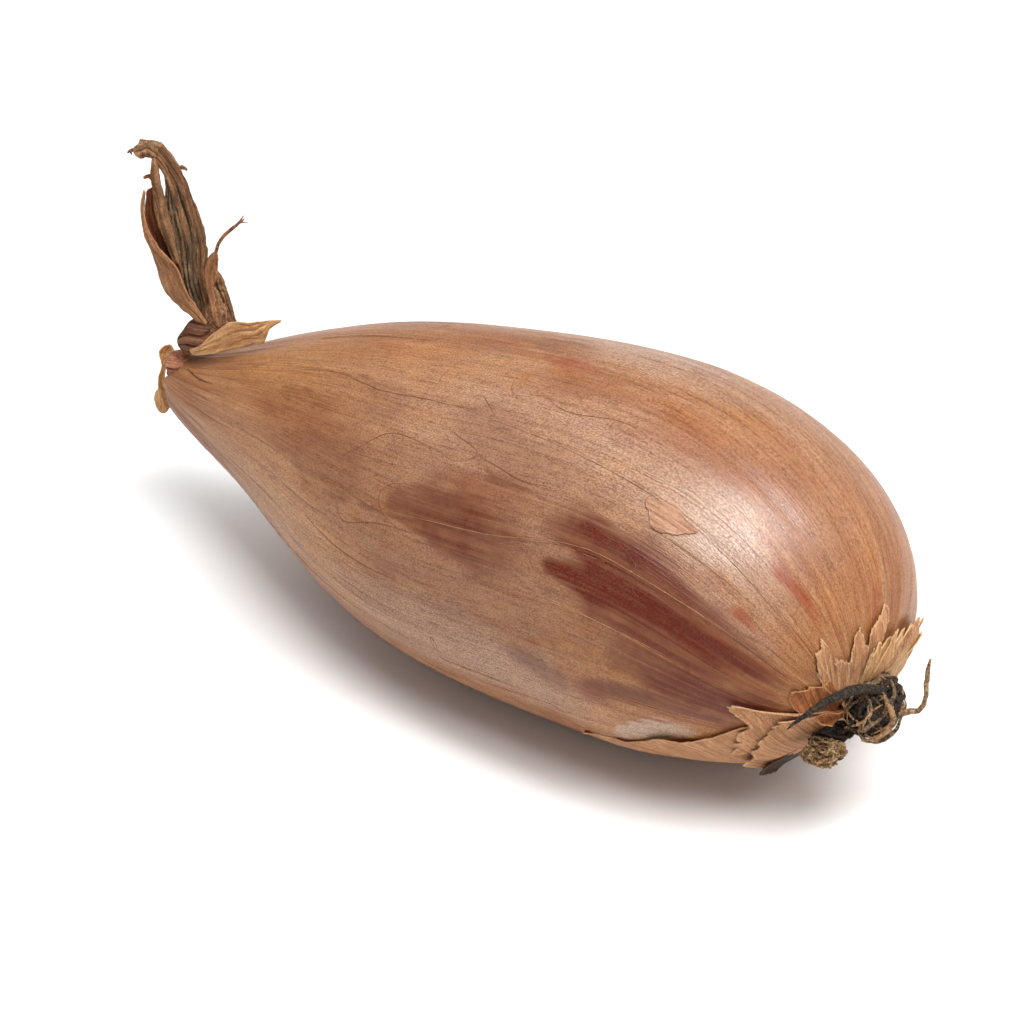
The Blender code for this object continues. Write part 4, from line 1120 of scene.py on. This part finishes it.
def make_plume():
    add_ribbon("main_leaf", LEAF_DARK, ["main_blade"],
               at(0.0, (-1.2, 1.8), (-2.8, 6.2), (-3.5, 9.7), (-3.7, 13.5), (-4.0, 17.3), (-3.8, 20.7),
                  (-5.0, 23.0), (-5.9, 23.5), (-6.9, 24.2)),
               at(0.0, (0.8, 1.8), (0.1, 6.6), (0.4, 11.0), (0.2, 14.3), (-0.8, 17.8), (-1.4, 20.0),
                  (-2.5, 22.8), (-4.1, 25.2), (-6.3, 25.6)),
               0.5, 6, 0.20, 0.30, 21, rows=170, columns=60, ragged=0.05)
    add_ribbon("main_leaf_right_fold", LEAF_BROWN, (),
               at(0.5, (0.2, 2.4), (-0.5, 7.0), (-0.7, 11.0), (-1.1, 15.0), (-2.0, 18.6), (-3.0, 21.4),
                  (-4.8, 24.4)),
               at(0.3, (0.9, 2.4), (0.3, 7.0), (0.5, 11.0), (0.3, 14.4), (-0.7, 17.8), (-1.3, 20.2),
                  (-3.9, 25.4)),
               0.25, 2, 0.12, 0.16, 22, rows=140, ragged=0.12)
    add_ribbon("main_leaf_middle_fold", LEAF_BROWN, (),
               at(0.8, (-1.7, 12.0), (-2.2, 15.0), (-2.7, 17.8), (-3.4, 20.4), (-4.6, 23.0), (-5.8, 24.6)),
               at(0.7, (-1.4, 12.0), (-1.5, 15.0), (-2.1, 17.8), (-2.7, 20.4), (-4.0, 23.4), (-5.6, 25.2)),
               0.15, 1, 0.08, 0.12, 23, columns=18, ragged=0.15)
    add_ribbon("leaf_tip_fold", LEAF_BROWN, (),
               at(0.5, (-4.6, 23.2), (-5.4, 23.7), (-6.3, 23.6), (-7.0, 24.2)),
               at(0.5, (-4.4, 24.9), (-5.4, 25.5), (-6.4, 25.2), (-7.0, 24.7)),
               0.7, 3, 0.14, 0.22, 29, rows=50)
    add_ribbon("boat_leaf_dried", LEAF_BOAT, ["boat_leaf"],
               at(0.6, (-1.0, 2.3), (-3.0, 4.2), (-4.5, 6.2), (-5.2, 8.8), (-5.8, 11.8), (-6.4, 14.6),
                  (-6.4, 17.6), (-6.1, 19.4)),
               [(0.3, 2.5, 1.4), (-0.9, 4.9, 1.6), (-1.9, 7.5, 1.9), (-2.8, 10.4, 2.0), (-3.8, 11.9, 2.0),
                (-5.2, 13.6, 1.8), (-5.9, 15.4, 1.5), (-6.1, 17.4, 1.3), (-5.9, 19.5, 1.0)],
               0.5, 4, 0.07, 0.12, 24, rows=130, columns=36, ragged=0.04, curl=0.25)
    add_ribbon("boat_leaf_hollow", LEAF_INSIDE, (),
               at(0.5, (-3.6, 7.6), (-5.1, 10.6), (-5.8, 13.4), (-6.2, 16.2), (-5.9, 19.3)),
               at(0.9, (-2.4, 8.6), (-3.4, 12.0), (-4.4, 14.6), (-4.9, 17.0), (-5.2, 19.9)),
               -0.5, 3, 0.08, 0.12, 28, ragged=0.05)
    add_ribbon("inner_leaf_strip", LEAF_BROWN, ["inner_strip"],
               at(1.2, (-3.2, 10.2), (-4.2, 13.4), (-5.0, 16.9), (-5.0, 19.4), (-5.2, 21.2), (-4.9, 23.9)),
               at(1.2, (-2.7, 10.2), (-3.3, 15.6), (-3.8, 18.9), (-4.1, 20.7), (-4.3, 22.9), (-4.6, 24.0)),
               0.3, 2, 0.1, 0.15, 25, columns=20, ragged=0.08)
    add_ribbon("front_leaf_dried", LEAF_BOAT, ["front_leaf"],
               at(1.6, (1.1, 2.0), (0.7, 4.6), (0.4, 7.4), (0.5, 10.4), (1.0, 11.4), (1.5, 12.0)),
               at(1.6, (1.9, 2.0), (1.4, 5.0), (1.2, 7.6), (1.6, 9.4), (1.9, 11.4), (1.7, 12.0)),
               0.3, 2, 0.1, 0.15, 26, columns=22)
    add_ribbon("back_leaf_dried", LEAF_BROWN, ["back_leaf"],
               at(-0.6, (0.6, 0.8), (0.9, 3.6), (0.8, 5.6), (0.6, 6.8), (1.1, 7.9)),
               at(-1.0, (3.4, 0.8), (3.0, 2.9), (2.5, 5.0), (1.9, 7.1), (1.4, 7.9)),
               0.6, 4, 0.16, 0.25, 27, columns=36, ragged=0.06)
    add_ribbon("neck_stalk_leaf", LEAF_BROWN, (),
               at(0.9, (-1.0, 0.6), (-0.4, 2.4), (0.3, 4.4), (0.8, 6.4)),
               at(0.6, (3.0, 0.9), (2.7, 2.6), (2.1, 4.4), (1.2, 6.6)),
               0.9, 6, 0.10, 0.14, 30, columns=40, rows=70)
    spurs = (((-6.6, 24.3, 0.3), (-7.3, 24.4, 0.3), (-7.7, 24.1, 0.3), (0.25, 0.18, 0.12)),
             ((-6.9, 24.4, 0.3), (-7.4, 24.0, 0.2), (-7.3, 23.7, 0.2), (0.16, 0.14, 0.08)),
             ((-5.1, 21.0, 0.6), (-5.6, 21.2, 0.6), (-6.0, 21.0, 0.6), (0.3, 0.26, 0.2)),
             ((-2.3, 21.9, 0.1), (-1.6, 22.0, 0.1), (-1.2, 21.7, 0.1), (0.3, 0.28, 0.14)))
    for k, (*points, radii) in enumerate(spurs):
        strand = ([placed(KNOT_CENTRE, *point) for point in points], radii)
        add_strands(f"leaf_spur_{k}", [strand], LEAF_THREAD, step=0.12, sides=8, seed=7.0 + k)
    thread = [((1.5, 11.4, 1.6), (1.9, 12.7, 1.6), (2.7, 14.1, 1.6), (4.0, 15.3, 1.6), (5.2, 16.3, 1.6)),
              ((3.6, 15.0, 1.6), (4.9, 15.9, 1.7), (5.5, 15.9, 1.7)),
              ((4.0, 15.3, 1.6), (4.8, 16.2, 1.5), (5.1, 16.7, 1.5))]
    radii = ((0.26, 0.20, 0.22, 0.2, 0.06), (0.14, 0.12, 0.05), (0.14, 0.12, 0.05))
    strands = [([placed(KNOT_CENTRE, *point) for point in part], thick) for part, thick in zip(thread, radii)]
    add_strands("leaf_thread_dried", strands, LEAF_THREAD, ["leaf_thread"], wander=0.25,
                wander_size=1.5, seed=2.0)


make_plume()


def lump(name, material, nodes, centre, axes, radii, wrinkles=9, depth=0.12, twist=1.4, seed=1,
         rough=0.08, rows=70, columns=96):
    """A wrinkled rounded lump. The folds run along its first axis in a slant."""
    polar, turn = np.meshgrid(np.linspace(0.0, math.pi, rows + 2)[1:-1],
                              np.linspace(0.0, 2.0 * math.pi, columns, endpoint=False), indexing="ij")
    u, v = polar / math.pi, turn / (2.0 * math.pi)
    sway = 1.6 * noise(u, v, (4, 5), seed, True)
    folds = np.abs(np.sin(0.5 * wrinkles * turn + twist * polar * 2.0 + sway))
    shape = 1.0 - depth * (1.0 - folds) ** 2 * 1.6 + rough * noise(u, v, (5, 6), seed + 1, True)
    shape = shape + 0.4 * rough * noise(u, v, (14, 22), seed + 2, True)
    local = [np.cos(polar) * radii[0], np.sin(polar) * np.cos(turn) * radii[1] * shape,
             np.sin(polar) * np.sin(turn) * radii[2] * shape]
    grid = centre + sum(value[..., None] * axis for value, axis in zip(local, axes))
    poles = [centre + axes[0] * radii[0], centre - axes[0] * radii[0]]
    mean, slant = float(np.mean(radii)), turn + twist * polar
    grain = np.stack([mean * np.cos(slant), mean * np.sin(slant), mean * polar], axis=-1)
    points = np.concatenate([grid.reshape(-1, 3), poles])
    attributes = {"grain": np.concatenate([grain.reshape(-1, 3), grain[[0, -1], 0]]),
                  "edge": np.zeros(len(points))}
    body = add_mesh(name, points, rounded_faces(rows, columns), attributes)
    return finish_piece(body, material, nodes)


def make_neck():
    knot_axis = unit(placed(np.zeros(3), 0.75, 0.35, 0.0))
    knot_axes = (knot_axis, unit(np.cross(FRONT, knot_axis)), FRONT)
    upright = (UP, ACROSS, FRONT)
    lump("twisted_neck_knot", KNOT_BROWN, ["neck_knot"], placed(KNOT_CENTRE, -0.2, 0.2, 0.4),
         knot_axes, (3.6, 2.1, 2.2), 8, 0.22, 0.9, 31, 0.12)
    lump("neck_stalk", LEAF_BROWN, (), placed(KNOT_CENTRE, 1.0, 2.0, 0.2), upright,
         (2.6, 1.9, 1.5), 10, 0.12, 0.6, 34)
    slanted = (unit(ACROSS + 0.6 * UP), unit(UP - 0.6 * ACROSS), FRONT)
    lump("pink_neck_fold", NECK_PINK, ["pink_fold"], placed(KNOT_CENTRE, -3.7, -4.3, -0.6),
         slanted, (1.7, 1.4, 1.6), 5, 0.25, 0.8, 37)
    lump("neck_bead", TORN_GOLD, ["skin_bead"], placed(KNOT_CENTRE, -6.0, -10.4, -1.6), upright,
         (1.7, 1.0, 1.0), 4, 0.14, 0.5, 41, 0.12)
    add_ribbon("neck_torn_flap", TORN_GOLD, ["neck_flap"],
               [(-1.9, -1.2, 0.3), (-1.7, -1.2, 2.4), (0.4, -0.5, 3.7), (2.6, 0.6, 4.6), (5.9, 2.2, 5.9),
                (7.0, 2.8, 6.5), (8.0, 5.0, 6.9), (9.2, 6.1, 7.2)],
               [(-1.8, -0.5, 0.3), (-1.6, -0.7, 2.2), (0.5, 1.0, 3.0), (2.0, 2.9, 3.6), (3.7, 4.6, 4.4),
                (5.7, 5.2, 5.4), (7.8, 5.8, 6.4), (9.3, 6.3, 7.2)],
               0.5, 3, 0.07, 0.16, 44, columns=44, curl=0.55, thickness=TORN_THICKNESS,
               ragged=0.05)
    lump("neck_hollow", NECK_PINK, (), placed(KNOT_CENTRE, -4.2, -5.6, -0.9), upright,
         (1.5, 1.0, 1.2), 6, 0.22, 0.7, 38, 0.15)


def make_neck_curl():
    """The narrow curled strip of skin that hangs beside the neck, cupped towards the front."""
    share = np.linspace(0.0, 1.0, 90)
    route, along = from_knot([(-4.6, -2.9, -2.0), (-5.2, -3.6, -1.9), (-5.5, -5.2, -1.8),
                              (-5.9, -7.0, -1.8), (-6.0, -8.8, -1.8)])
    centre = route(share)
    half_width = curve_through(along, [0.5, 0.75, 0.3, 0.35, 0.4])(share)[:, None]
    tangent = unit(np.gradient(centre, axis=0))
    side = unit(np.cross(tangent, FRONT))
    normal = unit(np.cross(side, tangent))
    u, v = np.meshgrid(share, np.linspace(-1.0, 1.0, 26), indexing="ij")
    nicks = tear(u, 14, 47) * (v < 0) + tear(u, 14, 48) * (v >= 0)
    half_width = half_width * (1.0 + 0.12 * nicks * np.abs(v))
    folds = np.sin(math.pi * 2 * v + 2.0 * noise(u, 0 * u, (4, 1), 49)) * np.minimum(1.0, half_width)
    turned = (v + 1.0) / 2.0
    creases = noise(u, turned, (9, 3), 50) + 0.5 * noise(u, turned, (24, 7), 51)
    flow, depth = v * half_width, 0.4 * v * v + 0.1 * folds + 0.18 * creases
    middle = centre[:, None] + flow[..., None] * side[:, None] + depth[..., None] * normal[:, None]
    edge = np.maximum(np.abs(v) ** 8, smooth_step(0.95, 1.0, u))
    length = np.linalg.norm(np.diff(centre, axis=0), axis=1).sum()
    grain = (flow, 7.0 * 47, u * length)
    add_sheet("neck_skin_curl", TORN_GOLD, ["skin_curl"], middle, TORN_THICKNESS, edge, grain)


make_neck()
make_neck_curl()


# ---- the root end ------------------------------------------------------------------------------------
CROWN = CROWN_CENTRE + 1.2 * UP - 0.5 * ACROSS
CROWN_AXIS = unit(ROOT_POLE - NECK_POLE)
CROWN_SIDE = unit(np.cross(CROWN_AXIS, UP))
CROWN_RISE = np.cross(CROWN_SIDE, CROWN_AXIS)
CROWN_AXES, CROWN_REACH = (CROWN_AXIS, CROWN_SIDE, CROWN_RISE), (2.6, 3.5, 2.75)
LINK = CROWN - 4.0 * ACROSS - 2.7 * UP + 1.6 * FRONT      # between the crown and the hair mat
HAIR_MAT = MAT_CENTRE + 1.3 * UP - 0.1 * ACROSS


def root(*points, radii):
    """A root through (across, up, front) points from the crown's centre."""
    return [placed(CROWN_CENTRE, *p) for p in points], list(radii)


def on_crown(direction, scale):
    """A point on the crown's rounded outline in a direction."""
    direction = unit(direction)
    return CROWN + scale * sum(direction @ axis * reach_out * axis
                               for axis, reach_out in zip(CROWN_AXES, CROWN_REACH))


def wander_over(rng, direction, heading, turning, step):
    """The next direction of a strand that wanders round a lump."""
    heading = unit(heading + turning * rng.normal(0.0, 1.0, 3))
    heading = unit(heading - direction * (heading @ direction))
    return unit(direction + heading * step), heading


def wrapping_strand(rng, thick, length, spread):
    """A root that lies round the crown like a strand of a nest."""
    shares = (rng.uniform(-0.1, 1.0), rng.normal(0.0, 0.8), rng.normal(0.0, 0.8))
    direction = unit(sum(share * axis for share, axis in zip(shares, CROWN_AXES)))
    heading = unit(np.cross(direction, rng.normal(0.0, 1.0, 3)))
    points = []
    for _ in range(7):
        points.append(on_crown(direction, 1.0 + 0.05 * rng.normal() + 0.06 * spread))
        direction, heading = wander_over(rng, direction, heading, 0.35, length / 19.0)
    return points, [thick * 0.5, thick, thick * 0.9, thick * 0.7, 0.06]


def make_roots():
    lump("crown_stub", CROWN_DARK, ["root_crown"], CROWN, CROWN_AXES, (2.5, 3.3, 2.6),
         14, 0.2, 0.5, 51, 0.2)
    # A dark lump between the crown and the hair mat: partly dark root matter, partly painted shade filling
    # that gap.
    lump("crown_skirt_and_shade", CROWN_DARK, (), LINK, (ACROSS, UP, FRONT), (2.2, 0.9, 1.1),
         12, 0.3, 0.8, 52, 0.5, 40, 60)
    black = root((0.4, 3.9, 1.2), (-1.4, 5.2, 2.6), (-3.2, 6.6, 4.6), (-5.2, 7.2, 6.6), (-7.2, 6.7, 7.7),
                 (-9.0, 5.4, 8.2), (-10.0, 4.5, 8.3), radii=(0.42, 0.50, 0.56, 0.52, 0.42, 0.3, 0.08))
    side = root((2.2, 0.6, 1.0), (3.3, 0.6, 0.4), (4.4, 0.4, 0.0), (5.1, 1.2, -0.5), (5.3, 2.7, -1.6),
                (5.6, 5.0, -2.8), radii=(0.45, 0.34, 0.28, 0.24, 0.28, 0.26, 0.14))
    pale = root((0.3, 4.6, 2.4), (0.9, 3.4, 3.4), (1.4, 2.2, 3.9), (0.8, 1.0, 4.1), (-0.6, -0.2, 4.2),
                (-1.8, -0.6, 3.9), radii=(0.1, 0.3, 0.34, 0.3, 0.26, 0.1))
    hooked = root((-2.2, 0.6, 3.6), (-1.6, -0.6, 3.6), (-0.3, -1.3, 3.2), (1.2, -1.1, 2.6), (2.2, 0.0, 2.0),
                  (2.4, 1.4, 1.8), radii=(0.1, 0.22, 0.24, 0.22, 0.2, 0.08))
    lower = root((-1.4, 0.0, 3.6), (-0.4, -0.8, 3.4), (0.8, -1.5, 2.4), (1.6, -1.0, 1.6),
                 radii=(0.08, 0.2, 0.2, 0.08))
    for name, strand, material in (("black_root", black, ROOT_BLACK), ("side_root", side, ROOT_TAN),
                                   ("pale_root", pale, ROOT_TAN), ("hooked_root", hooked, ROOT_GREY),
                                   ("under_root", lower, ROOT_TAN)):
        add_strands(name + "_dried", [strand], material, nodes=[name], sides=10, wander=0.4,
                    wander_size=0.8, seed=4.0)


def make_rootlets():
    """The nest of short rootlets round the crown, and the wisps from it to the hair mat."""
    rng = np.random.default_rng(61)

    def nest(count, thin, thick, spread):
        return [wrapping_strand(rng, rng.uniform(thin, thick), rng.uniform(4.0, 9.0), spread)
                for _ in range(count)]

    dark = nest(54, 0.22, 0.46, 0.6)
    for _ in range(14):
        points = [LINK + rng.normal(0.0, 1.0, 3) * 0.5 + ACROSS * reach_out + UP * rise
                  for reach_out, rise in ((-2.4, 0.1), (-1.0, 0.3), (0.6, 0.5), (2.2, 1.0))]
        dark.append((points, [0.12, rng.uniform(0.2, 0.36), rng.uniform(0.2, 0.36), 0.1]))
    tan = nest(16, 0.10, 0.20, 2.2)
    grey = nest(22, 0.12, 0.30, 1.6)
    for name, strands, material, nodes in (("dark_rootlets", dark, CROWN_DARK, ["short_root"]),
                                           ("tan_rootlets", tan, ROOT_TAN, []),
                                           ("grey_rootlets", grey, ROOT_GREY, ["back_root"])):
        add_strands(name, strands, material, nodes=nodes, step=0.22, sides=7, wander=0.4, wander_size=0.7,
                    seed=5.0)


def make_hair_mat():
    """The felted clump of hair roots: lumpy cores under curly hairs."""
    rng = np.random.default_rng(72)
    clumps = [(HAIR_MAT, 1.9, 1.2), (HAIR_MAT + 1.1 * ACROSS + 0.3 * UP, 1.2, 0.9),
              (HAIR_MAT - 1.0 * ACROSS - 0.3 * UP, 1.2, 0.9), (HAIR_MAT + 0.2 * ACROSS - 0.9 * UP, 1.0, 0.6)]
    for k, (centre, wide, tall) in enumerate(clumps):
        lump(f"hair_mat_core_{k}", HAIR_TAN, ["root_mat"] if k == 0 else [], centre,
             (ACROSS, UP, FRONT), (wide * 0.7, tall * 0.7, wide * 0.6), 9, 0.3, 1.2, 71 + k, 0.35, 36, 48)
    tan, dark = [], []
    for k in range(300):
        centre, wide, tall = clumps[k % 4]
        direction = unit(rng.normal(0.0, 1.0, 3))
        heading = unit(np.cross(direction, rng.normal(0.0, 1.0, 3)))
        points = []
        for _ in range(7):
            spread = 0.92 + 0.14 * rng.normal()
            across, up, front = direction * (wide, tall, wide * 0.9)
            points.append(centre + spread * placed(np.zeros(3), across, up, front))
            direction, heading = wander_over(rng, direction, heading, 0.7, 0.34)
        thick = rng.uniform(0.06, 0.17)
        (tan if k % 5 < 4 else dark).append((points, [thick, thick, thick * 0.8, 0.04]))
    for name, strands, material in (("root_hairs_tan", tan, HAIR_TAN), ("root_hairs_dark", dark, ROOT_GREY)):
        add_strands(name, strands, material, step=0.18, sides=4, seed=6.0)


make_roots()
make_rootlets()
make_hair_mat()


# ---- floor, lights and camera ----------------------------------------------------------------------
VIEW_AZIMUTH, VIEW_ELEVATION = 36.4, 35.0
VIEW_DISTANCE, VIEW_LENS = 382.2, 120.0
AIM_OFFSET = np.array([-0.40, 0.05, -2.67])


def make_floor():
    bpy.ops.mesh.primitive_plane_add(size=4.0)
    floor = bpy.context.active_object
    floor.name = "floor"
    settings = {"Roughness": 0.9, "Base Color": (0.9, 0.9, 0.9, 1.0), "Specular IOR Level": 0.1}
    material = new_material("pale_floor", **settings)[0]
    floor.data.materials.append(material)


def add_light(name, power, size, place, aim=(0.0, 0.0, 0.02)):
    light = bpy.data.lights.new(name, "AREA")
    light.shape = "RECTANGLE"
    light.size, light.size_y = size
    light.energy = power
    thing = bpy.data.objects.new(name, light)
    thing.location = place
    thing.rotation_euler = (Vector(aim) - Vector(place)).to_track_quat("-Z", "Y").to_euler()
    bpy.context.scene.collection.objects.link(thing)
    return thing


def make_stage():
    make_floor()
    scene = bpy.context.scene
    world = bpy.data.worlds.new("pale_room")
    world.use_nodes = True
    background = world.node_tree.nodes["Background"].inputs
    background[0].default_value, background[1].default_value = (1.0, 1.0, 1.0, 1.0), 0.36
    scene.world = world
    add_light("overhead_strip", 3.2, (1.3, 0.16), (0.0, -0.07, 0.62))
    add_light("key_softbox", 4.0, (0.46, 0.24), (0.27, -0.09, 0.60), (0.02, 0.0, 0.02))
    sheen = add_light("sheen_card", 14.5, (0.60, 0.22), (0.24, -0.09, 0.60), (0.02, 0.0, 0.02))
    sheen.visible_diffuse = False
    rim = add_light("rim_light", 1.0, (0.5, 0.3), (0.25, 0.50, 0.40))
    rim.visible_glossy = False
    scene.view_settings.view_transform = "Standard"
    camera = bpy.data.cameras.new("camera")
    camera.lens, camera.sensor_width = VIEW_LENS, 36.0
    camera.clip_start = 0.01
    thing = bpy.data.objects.new("camera", camera)
    a, e = math.radians(VIEW_AZIMUTH), math.radians(VIEW_ELEVATION)
    back = Vector((math.sin(a) * math.cos(e), -math.cos(a) * math.cos(e), math.sin(e)))
    aim = Vector((middle_of("bulb") + AIM_OFFSET) * MM)
    thing.location = aim + back * VIEW_DISTANCE * MM
    thing.rotation_euler = (-back).to_track_quat("-Z", "Y").to_euler()
    scene.collection.objects.link(thing)
    scene.camera = thing


make_stage()
